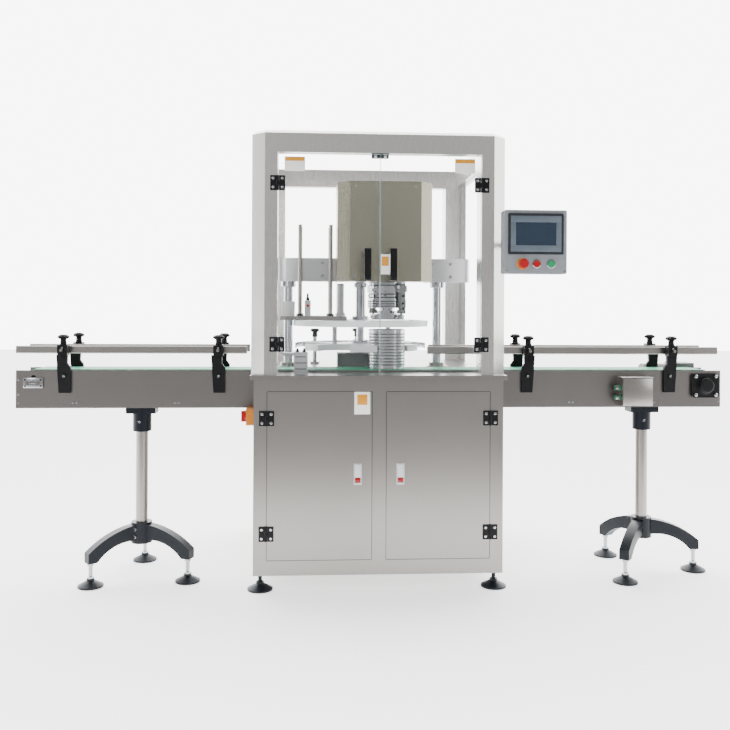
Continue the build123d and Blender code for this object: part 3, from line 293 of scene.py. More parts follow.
def dress_cad_nodes():
    """Give every CAD node its finish."""
    for finish, names in CAD_FINISH.items():
        for name in names:
            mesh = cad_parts[name].data
            if not mesh.materials:
                mesh.materials.append(FINISH[finish])
            for index in range(len(mesh.materials)):
                mesh.materials[index] = FINISH[finish]


def soften_edges():
    """Round the sharp edges of the castings and moulded parts, as a casting's radius does."""
    for name, width in (("stand_castings", 0.006), ("rail_brackets", 0.002), ("bearing_cover", 0.001)):
        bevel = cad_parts[name].modifiers.new("cast_radius", "BEVEL")
        bevel.width = width
        bevel.segments = 3
        bevel.limit_method = "ANGLE"
        bevel.angle_limit = radians(50)
        bevel.use_clamp_overlap = True
        bevel.harden_normals = False


# ------------------------------------------------------------------ mesh helpers


def place_piece(name, shape, finish, body, smooth=True):
    """Turn a finished bmesh into an object at the origin that rides on a CAD body."""
    bmesh.ops.recalc_face_normals(shape, faces=shape.faces)
    mesh = bpy.data.meshes.new(name)
    shape.to_mesh(mesh)
    shape.free()
    piece = bpy.data.objects.new(name, mesh)
    bpy.context.scene.collection.objects.link(piece)
    mesh.materials.append(FINISH[finish])
    if smooth:
        mesh.shade_smooth()
        mesh.set_sharp_from_angle(angle=radians(32))
    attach(piece, body)
    return piece


def add_block(shape, low, high, bevel=0.0, segments=2):
    """A block between two corners with rounded edges, added to a bmesh."""
    low, high = Vector(low), Vector(high)
    size = high - low
    matrix = Matrix.Translation((low + high) / 2) @ Matrix.Diagonal((*size, 1))
    made = bmesh.ops.create_cube(shape, size=1, matrix=matrix)
    if bevel:
        edges = {e for v in made["verts"] for e in v.link_edges}
        bmesh.ops.bevel(shape, geom=list(edges), offset=bevel, offset_type="OFFSET", segments=segments,
                        profile=0.5, affect="EDGES", material=-1)


AXES = {"X": (1, 0, 0), "Y": (0, 1, 0), "Z": (0, 0, 1), "-X": (-1, 0, 0), "-Y": (0, -1, 0), "-Z": (0, 0, -1)}


def facing(centre, axis):
    """A matrix that takes +Z to an axis, by its name or as a direction, and the origin to a centre."""
    direction = Vector(AXES[axis] if isinstance(axis, str) else axis)
    return Matrix.Translation(Vector(centre)) @ direction.to_track_quat("Z", "Y").to_matrix().to_4x4()


def add_lathe(shape, centre, axis, profile, steps=32):
    """Spin a profile of (radius, height) points about an axis; the profile's ends close the shape."""
    points = [shape.verts.new((r, 0, h)) for r, h in profile]
    edges = [shape.edges.new(pair) for pair in zip(points, points[1:])]
    bmesh.ops.spin(shape, geom=points + edges, cent=(0, 0, 0), axis=(0, 0, 1), angle=2 * pi,
                   steps=steps, use_merge=True)
    grown = {v for e in edges for v in e.verts}
    border = set(grown)
    while border:
        border = {o for v in border for e in v.link_edges for o in e.verts} - grown
        grown |= border
    on_axis = [v for v in grown if v.co.xy.length < 1e-7]
    bmesh.ops.remove_doubles(shape, verts=on_axis, dist=1e-7)
    grown = {v for v in grown if v.is_valid}
    bmesh.ops.transform(shape, matrix=facing(centre, axis), verts=list(grown))


def add_screw(shape, centre, axis, radius, height):
    """A socket head screw with a rounded rim and a round socket."""
    socket = radius * 0.5
    profile = [(0, -height * 0.1), (radius, -height * 0.1), (radius, height * 0.75),
               (radius * 0.88, height), (socket, height), (socket * 0.96, height * 0.45), (0, height * 0.45)]
    add_lathe(shape, centre, axis, profile, steps=18)


# ------------------------------------------------------------------ studio


FLOOR_MIDDLE, FLOOR_HALF = (0, 8.0, 0), (20, 10.2)
LIGHT_TARGET = (0, 0, 1.0)
# Each light's name, place, width and height, and power in watts.
LIGHTS = (("key_left", (-3.0, -4.4, 3.2), (1.2, 2.6), 80),
          ("fill_right", (3.8, -3.4, 2.2), (1.0, 2.6), 40),
          ("top", (0, 0.2, 4.6), (3.4, 2.2), 60))
# The camera was fitted to the photograph: it stands in front, left of the middle, above the worktop.
CAMERA_PLACE, CAMERA_TURN, CAMERA_ROLL = (-0.2752, -3.9208, 1.1624), 0.059, 0.005
CAMERA_SENSOR, CAMERA_LENS, CAMERA_SHIFT = 36, 41.96, (0.0036, -0.0815)
# Grey of the world by direction, from straight ahead of the machine (0) to straight behind it (1): a grey
# room, dark flags at both sides, and white paper behind.
WORLD_STOPS = ((0.0, 0.08), (0.20, 0.11), (0.34, 0.015), (0.52, 0.025), (0.66, 1.0))
WORLD_STRENGTH = 8.0


def stage_floor():
    """A plain pale floor of studio paper that glows a little, as lit paper does."""
    shape = bmesh.new()
    bmesh.ops.create_grid(shape, x_segments=1, y_segments=1, size=1,
                          matrix=Matrix.Translation(FLOOR_MIDDLE) @ Matrix.Diagonal((*FLOOR_HALF, 1, 1)))
    mesh = bpy.data.meshes.new("studio_floor")
    shape.to_mesh(mesh)
    shape.free()
    floor = bpy.data.objects.new("studio_floor", mesh)
    bpy.context.scene.collection.objects.link(floor)
    made, _, shader = start_material("studio_paper_white", "#FAFAFA", 0.9)
    shader.inputs["Specular IOR Level"].default_value = 0.1
    shader.inputs["Emission Color"].default_value = (1, 1, 1, 1)
    shader.inputs["Emission Strength"].default_value = 1.3
    mesh.materials.append(made)


def area_light(name, place, size, power):
    """A large soft light that points at the machine."""
    light = bpy.data.lights.new(name, "AREA")
    light.shape = "RECTANGLE"
    light.size, light.size_y = size
    light.energy = power
    lamp = bpy.data.objects.new(name, light)
    lamp.location = place
    direction = Vector(LIGHT_TARGET) - Vector(place)
    lamp.rotation_euler = direction.to_track_quat("-Z", "Y").to_euler()
    bpy.context.scene.collection.objects.link(lamp)


def make_camera():
    """The camera, which looks level and keeps upright lines upright by its shift."""
    data = bpy.data.cameras.new("studio_camera")
    data.sensor_width = CAMERA_SENSOR
    data.lens = CAMERA_LENS
    data.shift_x, data.shift_y = CAMERA_SHIFT
    data.clip_end = 100
    camera = bpy.data.objects.new("studio_camera", data)
    camera.matrix_world = (Matrix.Translation(CAMERA_PLACE) @ Matrix.Rotation(-CAMERA_TURN, 4, "Z")
                           @ Matrix.Rotation(pi / 2, 4, "X") @ Matrix.Rotation(CAMERA_ROLL, 4, "Z"))
    bpy.context.scene.collection.objects.link(camera)
    bpy.context.scene.camera = camera


def studio_world():
    """White paper behind the machine, with a greyer room in front and dark flags at both sides."""
    world = bpy.data.worlds.new("studio_white")
    world.use_nodes = True
    tree = world.node_tree
    background = tree.nodes["Background"]
    place = add_node(tree, "ShaderNodeTexCoord")
    parts = add_node(tree, "ShaderNodeSeparateXYZ", [("Vector", place.outputs["Generated"])])
    depth = stretch_value(tree, parts.outputs["Y"], 0.0, 1.0, span=(-1.0, 1.0))
    ramp = add_node(tree, "ShaderNodeValToRGB", [("Fac", depth)])
    while len(ramp.color_ramp.elements) < len(WORLD_STOPS):
        ramp.color_ramp.elements.new(0.5)
    for element, (position, value) in zip(ramp.color_ramp.elements, WORLD_STOPS):
        element.position = position
        element.color = (value, value, value, 1)
    tree.links.new(ramp.outputs["Color"], background.inputs["Color"])
    background.inputs["Strength"].default_value = WORLD_STRENGTH
    return world


class MACHINE_OT_stage(bpy.types.Operator):
    """Set the floor, the lights, the world and the camera"""

    bl_idname = "machine.stage"
    bl_label = "Studio"

    def execute(self, context):
        make_camera()
        stage_floor()
        context.scene.world = studio_world()
        for light in LIGHTS:
            area_light(*light)
        return {"FINISHED"}


class MACHINE_OT_finishes(bpy.types.Operator):
    """Make every finish and dress the CAD nodes with them"""

    bl_idname = "machine.finishes"
    bl_label = "Finishes"

    def execute(self, context):
        make_finishes()
        dress_cad_nodes()
        soften_edges()
        return {"FINISHED"}


# ------------------------------------------------------------------ places on the CAD frame

SIDES = ((-1, "left"), (1, "right"))
FRONT = -0.475                                      # outer face of the guard and cabinet doors
GUARD_HINGE_X, GUARD_HINGE_Z = 0.416, (1.0045, 1.656)
CABINET_HINGE_X, CABINET_HINGE_Z = 0.456, (0.239, 0.705)
HINGE_LEAF = 0.0043                                 # how far a hinge stands off the doors' face
LATCH_X, LATCH_Z = 0.087, 0.478
STATION = (0.051, -0.2169)                          # axis of the seaming head
HUB = (-0.054, -0.035)                              # axis of the can wheel and the lid turret
MAGAZINE = (-0.262, -0.176)                         # axis of the lid stack
SIDE_PLATE_FRONT, SIDE_PLATE_BACK = -0.315, -0.129  # outer faces of the conveyor's side plates
STAND_Y = -0.222                                    # middle of the conveyor, where the stands are
STANDS = ((-1.000, -22.8), (1.187, -7.4))           # each stand's x, and its first leg's direction
PANEL_FACE, BUTTON_Z = -0.555, 1.333                # front of the operator panel, and its row of buttons
LABEL_PATCH = (0.42, 0.88)                          # share of a tall label's height that is yellow


def add_label(name, body, low, high, y, patch, inset):
    """A plain two-colour label: a white plate with a yellow patch.

    low and high are the plate's (x, z) corners, patch is the shares of its height between which the yellow
    lies, and inset is the share of its width left white at each side.
    """
    (x0, z0), (x1, z1) = low, high
    shape = bmesh.new()
    add_block(shape, (x0, y - 0.0006, z0), (x1, y, z1), bevel=0.0002)
    place_piece(f"{name}_plate", shape, "label_white", body)
    shape = bmesh.new()
    b0, b1 = (z0 + (z1 - z0) * share for share in patch)
    margin = (x1 - x0) * inset
    add_block(shape, (x0 + margin, y - 0.0010, b0), (x1 - margin, y - 0.0005, b1), bevel=0.0002)
    place_piece(f"{name}_band", shape, "label_yellow", body)


def around(centre, radius, count, start=0.0):
    """Evenly spaced points on a level circle: x, y and the direction in which each lies."""
    for step in range(count):
        angle = radians(360 / count * step + start)
        yield (centre[0] + radius * cos(angle), centre[1] + radius * sin(angle),
               (cos(angle), sin(angle), 0))


# ------------------------------------------------------------------ doors


def add_hinge_screws(radius):
    """Four screws on each hinge: two on its fixed leaf and two on the leaf that moves with the door."""
    face, leaf_x, leaf_z, height = FRONT - HINGE_LEAF, 0.0185, 0.018, 0.0016
    fixed = bmesh.new()
    for side, hand in SIDES:
        for x, heights, body in ((GUARD_HINGE_X, GUARD_HINGE_Z, f"guard_{hand}"),
                                 (CABINET_HINGE_X, CABINET_HINGE_Z, f"cabinet_{hand}")):
            moving = bmesh.new()
            for z in heights:
                for dz in (-leaf_z, leaf_z):
                    add_screw(fixed, (side * (x + leaf_x), face, z + dz), "-Y", radius, height)
                    add_screw(moving, (side * (x - leaf_x), face, z + dz), "-Y", radius, height)
            place_piece(f"{body}_hinge_screws", moving, "screw_steel", body)
    place_piece("hinge_screws_fixed", fixed, "screw_steel", "machine")


def add_latch(x, hand):
    """A push latch's silver rim, and the red tile that rides on its button."""
    half, bar = 0.0134, 0.0022                      # the raised frame's half width, and its side bars
    front, back = FRONT - 0.0042, FRONT - 0.0029    # the raised frame's two faces
    rim = bmesh.new()
    add_block(rim, (x - 0.0165, FRONT - 0.0016, LATCH_Z - 0.0432), (x + 0.0165, FRONT, LATCH_Z + 0.0432),
              bevel=0.0012)
    for z0, z1 in ((-0.0138, 0.0400), (-0.0400, -0.0345)):
        add_block(rim, (x - half, front, LATCH_Z + z0), (x + half, back, LATCH_Z + z1), bevel=0.0008)
    for x0 in (x - half, x + half - bar):
        add_block(rim, (x0, front, LATCH_Z - 0.0346), (x0 + bar, back, LATCH_Z - 0.0136))
    place_piece(f"latch_rim_{hand}", rim, "latch_silver", f"cabinet_{hand}")
    tile = bmesh.new()
    add_block(tile, (x - 0.0104, FRONT - 0.0078, LATCH_Z - 0.0330),
              (x + 0.0104, FRONT - 0.0068, LATCH_Z - 0.0150), bevel=0.0004)
    place_piece(f"latch_tile_{hand}", tile, "red_plastic", f"latch_{hand}")


def add_door_edge(hand):
    """The sawn edge of a clear door, which catches the light that the sheet lets through."""
    (x0, y0, z0), (x1, y1, z1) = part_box(f"guard_door_{hand}")
    y0, y1, wide = y0 - 0.0001, y1 + 0.0001, 0.0012
    edge = bmesh.new()
    add_block(edge, (x0, y0, z0), (x0 + wide, y1, z1))
    add_block(edge, (x1 - wide, y0, z0), (x1, y1, z1))
    add_block(edge, (x0 + wide, y0, z0), (x1 - wide, y1, z0 + wide))
    add_block(edge, (x0 + wide, y0, z1 - wide), (x1 - wide, y1, z1))
    place_piece(f"door_edge_{hand}", edge, "edge_acrylic", f"guard_{hand}")


class MACHINE_OT_door_trim(bpy.types.Operator):
    """Add the hinge screws, latch rims, handle plugs, door edges and labels"""

    bl_idname = "machine.door_trim"
    bl_label = "Door trim"

    def execute(self, context):
        trim = context.scene.machine_trim
        add_hinge_screws(trim.screw_radius)
        for side, hand in SIDES:
            add_latch(side * LATCH_X, hand)
            plugs = bmesh.new()
            for z in (1.274, 1.386):
                add_screw(plugs, (side * 0.052, FRONT - 0.0420, z), "-Y", 0.0062, 0.0012)
            place_piece(f"handle_plugs_{hand}", plugs, "black_plastic", f"guard_{hand}")
            add_door_edge(hand)
        for hand, x0, x1 in (("left", -0.389, -0.306), ("right", 0.304, 0.388)):
            add_label(f"label_guard_{hand}", f"guard_{hand}", (x0, 1.704), (x1, 1.763), FRONT,
                      (0.70, 0.96), 0.03)
        add_label("label_cabinet", "cabinet_left", (-0.102, 0.721), (-0.038, 0.721 + trim.label_height),
                  FRONT, LABEL_PATCH, 0.18)
        return {"FINISHED"}


# ------------------------------------------------------------------ head


def dress_head_cover(bolt):
    """The head cover's label, its screws on three sides and its raised cap."""
    low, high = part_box("head_cover")
    add_label("label_head", "head", (0.009, 1.294), (0.051, 1.378), low[1], LABEL_PATCH, 0.14)
    levels = (low[2] + 0.022, high[2] - 0.022)
    screw, height = bolt * 0.6, 0.0024
    cover = bmesh.new()
    for x in (low[0] + 0.075, high[0] - 0.075):
        for z in levels:
            add_screw(cover, (x, low[1], z), "-Y", screw, height)
    for axis, x in (("-X", low[0]), ("X", high[0])):
        for y in (low[1] + 0.11, high[1] - 0.03):
            for z in levels:
                add_screw(cover, (x, y, z), axis, screw, height)
    place_piece("cover_screws", cover, "screw_steel", "head")
    cap = bmesh.new()
    add_block(cap, (low[0] + 0.030, low[1] + 0.030, high[2] - 0.0005),
              (high[0] - 0.030, high[1] - 0.004, high[2] + 0.0030), bevel=0.0014)
    place_piece("cover_cap", cap, "cover_steel", "head")


def dress_bridge(bolt):
    """Bolts through the bridge's front, and a ring of small ones under each column's collar."""
    low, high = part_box("head_bridge")
    front, collar_bottom = -0.095, 1.248
    bolts = bmesh.new()
    for x in (-0.330, -0.230, 0.262, 0.350):
        for z in (low[2] + 0.024, high[2] - 0.024):
            add_screw(bolts, (x, front, z), "-Y", bolt, 0.006)
    for column_x in (-0.382, 0.295):
        for x, y, _ in around((column_x, -0.050), 0.0262, 6, start=15):
            add_screw(bolts, (x, y, collar_bottom), "-Z", bolt * 0.5, 0.004)
    place_piece("bridge_bolts", bolts, "screw_steel", "head")


def dress_magazine(bolt):
    """The nuts of the four lid rods, the plate's edge screws, and the sensor's lens and gland."""
    low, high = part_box("lid_magazine")
    nuts = bmesh.new()
    for dx in (-0.066, 0.066):
        for dy in (-0.070, 0.070):
            add_lathe(nuts, (MAGAZINE[0] + dx, MAGAZINE[1] + dy, 1.116), "Z",
                      [(0.0085, 0), (0.0150, 0), (0.0150, 0.0085), (0.0138, 0.0100), (0.0085, 0.0100)], steps=6)
    place_piece("lid_rod_nuts", nuts, "black_plastic", "head")
    screws = bmesh.new()
    for x in (low[0] + 0.030, low[0] + 0.076, high[0] - 0.028):
        add_screw(screws, (x, low[1], 1.1075), "-Y", bolt * 0.7, 0.004)
    place_piece("magazine_screws", screws, "screw_steel", "head")
    sensor_x = -0.294
    lens = bmesh.new()
    add_lathe(lens, (sensor_x, -0.286, 1.161), "-Y",
              [(0, 0), (0.0062, 0), (0.0058, 0.0016), (0, 0.0024)], steps=24)
    place_piece("sensor_lens", lens, "red_plastic", "head")
    gland = bmesh.new()
    add_lathe(gland, (sensor_x, -0.271, 1.183), "Z",
              [(0, 0), (0.0075, 0), (0.0075, 0.010), (0.0045, 0.014), (0.0045, 0.030), (0, 0.030)], steps=20)
    place_piece("sensor_gland", gland, "black_plastic", "head")


def raised_band(radius, proud, half, flat):
    """A lathe profile that stands proud of a wall, with a flat top between two slopes."""
    return [(radius, -half), (radius + proud, -flat), (radius + proud, flat), (radius, half)]


def dress_drum():
    """Dark bands round the seaming head's drum, and the cap screws under it and round it."""
    rings = bmesh.new()
    for levels, profile in (((1.160, 1.170, 1.180), raised_band(0.0838, 0.0008, 0.0022, 0.0014)),
                            ((1.198, 1.212, 1.250), raised_band(0.0798, 0.0010, 0.0025, 0.0016))):
        for z in levels:
            add_lathe(rings, (*STATION, z), "Z", profile, steps=64)
    place_piece("head_rings", rings, "steel_black", "head")
    caps = bmesh.new()
    for x, y, _ in around(STATION, 0.0842, 10, start=8):
        add_screw(caps, (x, y, 1.2242), "-Z", 0.0030, 0.0030)
    for x, y, out in around(STATION, 0.0800, 10, start=8):
        add_screw(caps, (x, y, 1.205), out, 0.0042, 0.0040)
    place_piece("head_cap_screws", caps, "steel_black", "head")


class MACHINE_OT_head_trim(bpy.types.Operator):
    """Add the head's label, cap, screws, bridge bolts, magazine fittings and drum bands"""

    bl_idname = "machine.head_trim"
    bl_label = "Head trim"

    def execute(self, context):
        bolt = context.scene.machine_trim.bolt_radius
        dress_head_cover(bolt)
        dress_bridge(bolt)
        dress_magazine(bolt)
        dress_drum()
        return {"FINISHED"}


class MACHINE_OT_lever_trim(bpy.types.Operator):
    """Add the adjusting screws of the two seaming levers"""

    bl_idname = "machine.lever_trim"
    bl_label = "Seaming lever trim"

    def execute(self, context):
        centre = Vector((*STATION, 0))
        for azimuth, which in ((-55, "first"), (125, "second")):
            out = Vector((cos(radians(azimuth)), sin(radians(azimuth)), 0))
            along = Vector((-out.y, out.x, 0))
            middle = centre + out * 0.106
            screws = bmesh.new()
            for z in (1.150, 1.172, 1.204):
                add_screw(screws, (middle.x, middle.y, z), out, 0.0050, 0.0050)
            for step in (-1, 1):
                point = centre + out * 0.1058 + along * (0.009 * step)
                add_screw(screws, (point.x, point.y, 1.1335), out, 0.0030, 0.0030)
            place_piece(f"lever_screws_{which}", screws, "steel_black", f"lever_{which}")
        return {"FINISHED"}


# ------------------------------------------------------------------ wheel, turret and can


def dress_can():
    """The sample can's two rolled rims, and the beads pressed into its wall."""
    low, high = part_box("sample_can")
    x, y = (low[0] + high[0]) / 2, (low[1] + high[1]) / 2
    rims = bmesh.new()
    add_lathe(rims, (x, y, high[2] - 0.0055), "Z",
              [(0.0780, 0), (0.0792, 0.0008), (0.0796, 0.0026), (0.0792, 0.0046), (0.0780, 0.0052),
               (0.0764, 0.0050), (0.0758, 0.0035), (0.0780, 0)], steps=72)
    add_lathe(rims, (x, y, low[2] + 0.0002), "Z",
              [(0.0780, 0), (0.0792, 0.0010), (0.0792, 0.0036), (0.0782, 0.0050), (0.0780, 0)], steps=72)
    place_piece("can_rims", rims, "tinplate", "wheel")
    first_bead, bead_spacing, bead_count = 0.0190, 0.0130, 11
    beads = bmesh.new()
    for step in range(bead_count):
        add_lathe(beads, (x, y, low[2] + first_bead + bead_spacing * step), "Z",
                  [(0.0783, -0.0034), (0.0792, -0.0026), (0.0797, 0), (0.0792, 0.0026), (0.0783, 0.0034)],
                  steps=72)
    place_piece("can_beads", beads, "bead_dark", "wheel")


class MACHINE_OT_turret_trim(bpy.types.Operator):
    """Add the hub bolts, the turret's plugs, and the can's rims and beads"""

    bl_idname = "machine.turret_trim"
    bl_label = "Turret and can trim"

    def execute(self, context):
        bolt = context.scene.machine_trim.bolt_radius
        for body, height, ring in (("turret", 1.110, 0.0315), ("wheel", 1.002, 0.0310)):
            bolts = bmesh.new()
            for x, y, _ in around(HUB, ring, 6, start=10):
                add_screw(bolts, (x, y, height), "Z", bolt * 0.6, 0.005)
            place_piece(f"{body}_hub_bolts", bolts, "screw_steel", body)
        turret_top, rim_radius = 1.096, 0.268
        plugs = bmesh.new()
        for start in (-36.5, -23.5):
            for x, y, _ in around(HUB, rim_radius, 6, start):
                add_lathe(plugs, (x, y, turret_top), "Z",
                          [(0, 0), (0.0075, 0), (0.0072, 0.0012), (0.0045, 0.0016), (0, 0.0016)], steps=20)
        place_piece("turret_plugs", plugs, "black_plastic", "turret")
        dress_can()
        return {"FINISHED"}


# ------------------------------------------------------------------ conveyor


def dress_tensioner():
    """The belt tensioner's bright plate, with its four screws and its slot."""
    x, z, face = -1.428, 0.834, SIDE_PLATE_FRONT
    plate = bmesh.new()
    add_block(plate, (x - 0.040, face - 0.0085, z - 0.0205), (x + 0.040, face - 0.0055, z + 0.0215),
              bevel=0.0012)
    place_piece("tensioner_plate", plate, "screw_steel", "machine")
    holes = bmesh.new()
    for dx in (-0.032, 0.032):
        for dz in (-0.013, 0.014):
            add_screw(holes, (x + dx, face - 0.0084, z + dz), "-Y", 0.0038, 0.0012)
    add_block(holes, (x - 0.022, face - 0.0095, z - 0.005), (x + 0.006, face - 0.0083, z + 0.006),
              bevel=0.0004)
    place_piece("tensioner_holes", holes, "black_plastic", "machine")


def dress_bearing():
    """The bearing cover's four domed bolts, and the ring round its middle."""
    low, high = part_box("bearing_cover")
    x, z = (low[0] + high[0]) / 2, (low[2] + high[2]) / 2
    bolts = bmesh.new()
    for dx in (-0.044, 0.044):
        for dz in (-0.040, 0.040):
            add_lathe(bolts, (x + dx, SIDE_PLATE_FRONT - 0.0188, z + dz), "-Y",
                      [(0, 0), (0.0078, 0), (0.0078, 0.0022), (0.0062, 0.0042), (0.0030, 0.0052),
                       (0, 0.0055)], steps=24)
    place_piece("bearing_bolts", bolts, "screw_steel", "machine")
    ring = bmesh.new()
    add_lathe(ring, (x, SIDE_PLATE_FRONT - 0.0142, z), "-Y",
              [(0.0330, 0), (0.0395, 0), (0.0385, 0.0030), (0.0345, 0.0050), (0.0330, 0.0050), (0.0330, 0)],
              steps=48)
    place_piece("bearing_ring", ring, "black_plastic", "machine")


def dress_brackets(bolt):
    """Each rail bracket's two screws, and its knob's cap and grip ribs."""
    screws, knobs = bmesh.new(), bmesh.new()
    for x in (-1.300, -0.664, 0.646, 1.270):
        for away, wall, axis in ((-1, SIDE_PLATE_FRONT, "-Y"), (1, SIDE_PLATE_BACK, "Y")):
            add_screw(screws, (x, wall + away * 0.0188, 0.864), axis, bolt * 0.75, 0.003)
            add_screw(screws, (x, wall + away * 0.0442, 0.982), axis, 0.0045, 0.003)
            knob_y = wall + away * 0.024
            add_lathe(knobs, (x, knob_y, 1.0345), "Z",
                      [(0, 0), (0.0120, 0), (0.0130, 0.0006), (0.0115, 0.0020), (0, 0.0026)], steps=32)
            for rib_x, rib_y, _ in around((x, knob_y), 0.0218, 12):
                add_lathe(knobs, (rib_x, rib_y, 1.0232), "Z",
                          [(0, 0), (0.0026, 0), (0.0026, 0.0064), (0, 0.0072)], steps=8)
    place_piece("bracket_screws", screws, "screw_steel", "machine")
    place_piece("knob_ribs", knobs, "black_plastic", "machine")


def dress_control_box():
    """The control box's lid, folded over its top, and its two cable glands."""
    low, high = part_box("control_box")
    lid = bmesh.new()
    add_block(lid, (1.040, low[1] - 0.0024, low[2] + 0.002), (1.168, low[1] + 0.0002, high[2] - 0.002),
              bevel=0.0010)
    add_block(lid, (1.036, low[1] + 0.001, high[2] - 0.0002),
              (1.172, SIDE_PLATE_FRONT - 0.0002, high[2] + 0.0030), bevel=0.0010)
    place_piece("control_box_lid", lid, "steel_level", "machine")
    glands = bmesh.new()
    for z in (0.776, 0.816):
        add_lathe(glands, (1.0402, -0.354, z), "-X",
                  [(0, 0), (0.0135, 0), (0.0135, 0.008), (0.0112, 0.010), (0.0115, 0.021), (0.006, 0.024),
                   (0, 0.024)], steps=6)
    place_piece("control_glands", glands, "gland_green", "machine")


def dress_side_plates():
    """Screws in the conveyor's front side plate: three at each end, and a pair at each cross bar."""
    screws = bmesh.new()
    for side, _ in SIDES:
        for z in (0.753, 0.787, 0.847):
            add_screw(screws, (side * 1.490, SIDE_PLATE_FRONT, z), "-Y", 0.0040, 0.0018)
    for x in (-1.26, -0.84, 0.84, 1.20):
        for dx in (-0.008, 0.008):
            add_screw(screws, (x + dx, SIDE_PLATE_FRONT, 0.752), "-Y", 0.0044, 0.0018)
    place_piece("side_plate_screws", screws, "screw_steel", "machine")


class MACHINE_OT_conveyor_trim(bpy.types.Operator):
    """Add the tensioner plate, bearing bolts, bracket screws and knobs, box lid, glands and plate screws"""

    bl_idname = "machine.conveyor_trim"
    bl_label = "Conveyor trim"

    def execute(self, context):
        dress_tensioner()
        dress_bearing()
        dress_brackets(context.scene.machine_trim.bolt_radius)
        dress_control_box()
        dress_side_plates()
        return {"FINISHED"}


class MACHINE_OT_stand_trim(bpy.types.Operator):
    """Add the bright stems of the stand feet and the clamp bolts of the stands"""

    bl_idname = "machine.stand_trim"
    bl_label = "Stand trim"

    def execute(self, context):
        foot_radius, foot_stem_bottom = 0.226, 0.0345
        stems, bolts = bmesh.new(), bmesh.new()
        for stand_x, first_leg in STANDS:
            for x, y, _ in around((stand_x, STAND_Y), foot_radius, 3, first_leg):
                add_lathe(stems, (x, y, foot_stem_bottom), "Z",
                          [(0.0082, 0), (0.0135, 0), (0.0135, 0.008), (0.0084, 0.010), (0.0084, 0.052),
                           (0.0130, 0.052), (0.0130, 0.0625), (0.0082, 0.0625)], steps=24)
            for z in (0.176, 0.208):
                add_screw(bolts, (stand_x - 0.020, STAND_Y - 0.0392, z), (-0.45, -0.89, 0), 0.0085, 0.0075)
            add_screw(bolts, (stand_x - 0.004, STAND_Y - 0.0388, 0.664), "-Y", 0.0060, 0.0040)
        place_piece("foot_stems", stems, "screw_steel", "machine")
        place_piece("stand_bolts", bolts, "screw_steel", "machine")
        return {"FINISHED"}


# ------------------------------------------------------------------ operator panel


def dress_screen():
    """The screen's inner frame of four strips, with its coated glass set back between them."""
    low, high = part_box("panel_screen")
    x0, x1, z0, z1, y = low[0], high[0], low[2], high[2], low[1]
    side, top, edge, glass_edge = 0.009, 0.010, 0.030, 0.036
    strips = (((x0 + side, z1 - glass_edge), (x1 - side, z1 - top)),
              ((x0 + side, z0 + top), (x1 - side, z0 + glass_edge)),
              ((x0 + side, z0 + glass_edge), (x0 + edge, z1 - glass_edge)),
              ((x1 - edge, z0 + glass_edge), (x1 - side, z1 - glass_edge)))
    inner = bmesh.new()
    for (left, bottom), (right, upper) in strips:
        add_block(inner, (left, y - 0.0008, bottom), (right, y + 0.0020, upper), bevel=0.0004)
    place_piece("screen_frame", inner, "screen_frame", "panel")
    glass = bmesh.new()
    add_block(glass, (x0 + edge, y + 0.0008, z0 + glass_edge + 0.0002),
              (x1 - edge, y + 0.0019, z1 - glass_edge - 0.0002))
    place_piece("screen_glass", glass, "screen_glass", "panel")


class MACHINE_OT_panel_trim(bpy.types.Operator):
    """Add the screen's glass and inner frame, the rings round the buttons and the panel's screws"""

    bl_idname = "machine.panel_trim"
    bl_label = "Operator panel trim"

    def execute(self, context):
        dress_screen()
        rings = bmesh.new()
        for x in (0.623, 0.682):
            add_lathe(rings, (x, PANEL_FACE, BUTTON_Z), "-Y",
                      [(0.0145, 0), (0.0175, 0), (0.0175, 0.0022), (0.0160, 0.0034), (0.0145, 0.0034),
                       (0.0145, 0)], steps=40)
        place_piece("button_rings", rings, "polished", "panel")
        disc = bmesh.new()
        add_lathe(disc, (0.566, PANEL_FACE, BUTTON_Z), "-Y",
                  [(0.0112, 0), (0.0235, 0), (0.0235, 0.0010), (0.0230, 0.0014), (0.0112, 0.0014), (0.0112, 0)],
                  steps=48)
        place_piece("stop_ring", disc, "label_yellow", "panel")
        screws = bmesh.new()
        for x in (0.503, 0.736):
            add_screw(screws, (x, PANEL_FACE, 1.304), "-Y", 0.0032, 0.0014)
        place_piece("panel_screws", screws, "screw_steel", "panel")
        return {"FINISHED"}


# ------------------------------------------------------------------ frame


def dress_valve():
    """Three ribs across the valve block's front, and the two fittings on its top."""
    low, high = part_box("valve_block")
    valve = bmesh.new()
    for z in (low[2] + 0.020, low[2] + 0.045, low[2] + 0.070):
        add_block(valve, (high[0] - 0.052, low[1] - 0.0016, z - 0.0016),
                  (high[0] - 0.006, low[1] + 0.0002, z + 0.0016))
    for dx in (0.015, 0.043):
        add_lathe(valve, (high[0] - dx, (low[1] + high[1]) / 2, high[2]), "Z",
                  [(0, 0), (0.0075, 0), (0.0075, 0.006), (0.0050, 0.008), (0.0050, 0.015), (0, 0.016)], steps=20)
    place_piece("valve_fittings", valve, "black_plastic", "machine")


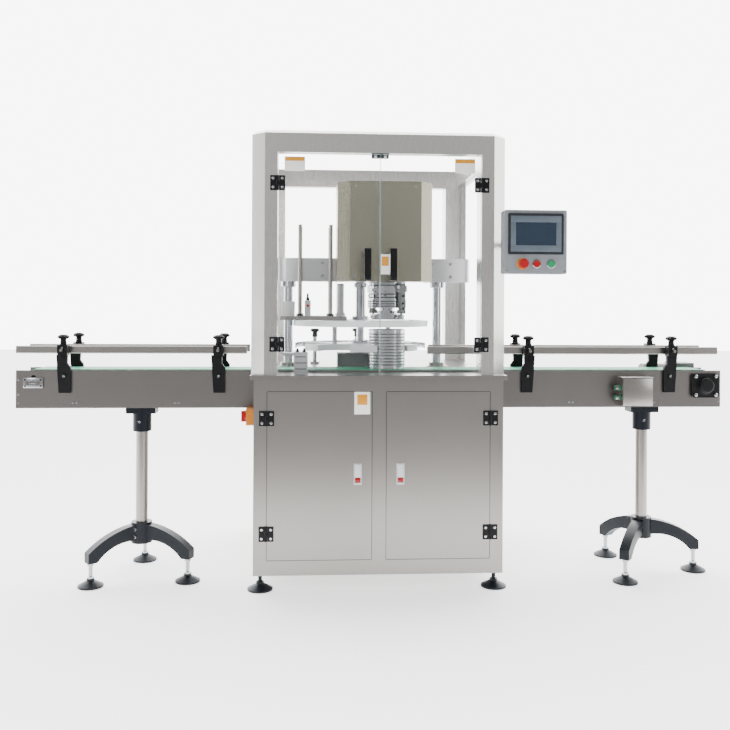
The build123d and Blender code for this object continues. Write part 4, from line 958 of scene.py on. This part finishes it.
def dress_door_gaps():
    """The rubber gaskets that show in the gaps round the two cabinet doors."""
    front, back = FRONT + 0.0004, FRONT + 0.012
    uprights, bottom, top = ((0.0281, 0.0299), (0.4541, 0.4559)), 0.134, 0.812
    strips = ((0.8121, 0.8139), (0.1301, 0.1319))
    gasket = bmesh.new()
    for side, _ in SIDES:
        for inner, outer in uprights:
            x0, x1 = sorted((side * inner, side * outer))
            add_block(gasket, (x0, front, bottom), (x1, back, top))
        x0, x1 = sorted((side * 0.030, side * 0.454))
        for z0, z1 in strips:
            add_block(gasket, (x0, front, z0), (x1, back, z1))
    place_piece("door_gaskets", gasket, "roller_rubber", "machine")


class MACHINE_OT_frame_trim(bpy.types.Operator):
    """Add the door catch's rollers, the valve's fittings and the cabinet door gaskets"""

    bl_idname = "machine.frame_trim"
    bl_label = "Frame trim"

    def execute(self, context):
        catch = bmesh.new()
        for x in (-0.020, 0.020):
            add_lathe(catch, (x, FRONT + 0.0150, 1.7735), "-Y",
                      [(0, 0), (0.0085, 0), (0.0085, 0.0050), (0.0060, 0.0066), (0, 0.0066)], steps=24)
        place_piece("catch_rollers", catch, "polished", "machine")
        dress_valve()
        dress_door_gaps()
        return {"FINISHED"}


# ------------------------------------------------------------------ add-on


class MACHINE_PT_panel(bpy.types.Panel):
    """The machine's operators, in the 3D view's sidebar"""

    bl_label = "Capping Machine"
    bl_idname = "MACHINE_PT_panel"
    bl_space_type = "VIEW_3D"
    bl_region_type = "UI"
    bl_category = "Capping Machine"

    def draw(self, context):
        for group in (context.scene.machine_finish, context.scene.machine_trim):
            for name in group.__annotations__:
                self.layout.prop(group, name)
        for operator in OPERATORS:
            self.layout.operator(operator.bl_idname)


OPERATORS = (MACHINE_OT_finishes, MACHINE_OT_door_trim, MACHINE_OT_head_trim, MACHINE_OT_lever_trim,
             MACHINE_OT_turret_trim, MACHINE_OT_conveyor_trim, MACHINE_OT_stand_trim,
             MACHINE_OT_panel_trim, MACHINE_OT_frame_trim, MACHINE_OT_stage)
CLASSES = (MachineFinish, MachineTrim, *OPERATORS, MACHINE_PT_panel)


def register():
    """Register the classes and hang the settings on the scene."""
    for made in CLASSES:
        bpy.utils.register_class(made)
    bpy.types.Scene.machine_finish = bpy.props.PointerProperty(type=MachineFinish)
    bpy.types.Scene.machine_trim = bpy.props.PointerProperty(type=MachineTrim)


def unregister():
    """Take the settings and the classes away again."""
    del bpy.types.Scene.machine_trim
    del bpy.types.Scene.machine_finish
    for made in reversed(CLASSES):
        bpy.utils.unregister_class(made)


def main():
    """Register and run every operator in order."""
    register()
    for operator in OPERATORS:
        group, name = operator.bl_idname.split(".")
        getattr(getattr(bpy.ops, group), name)()


if __name__ == "__main__":
    main()
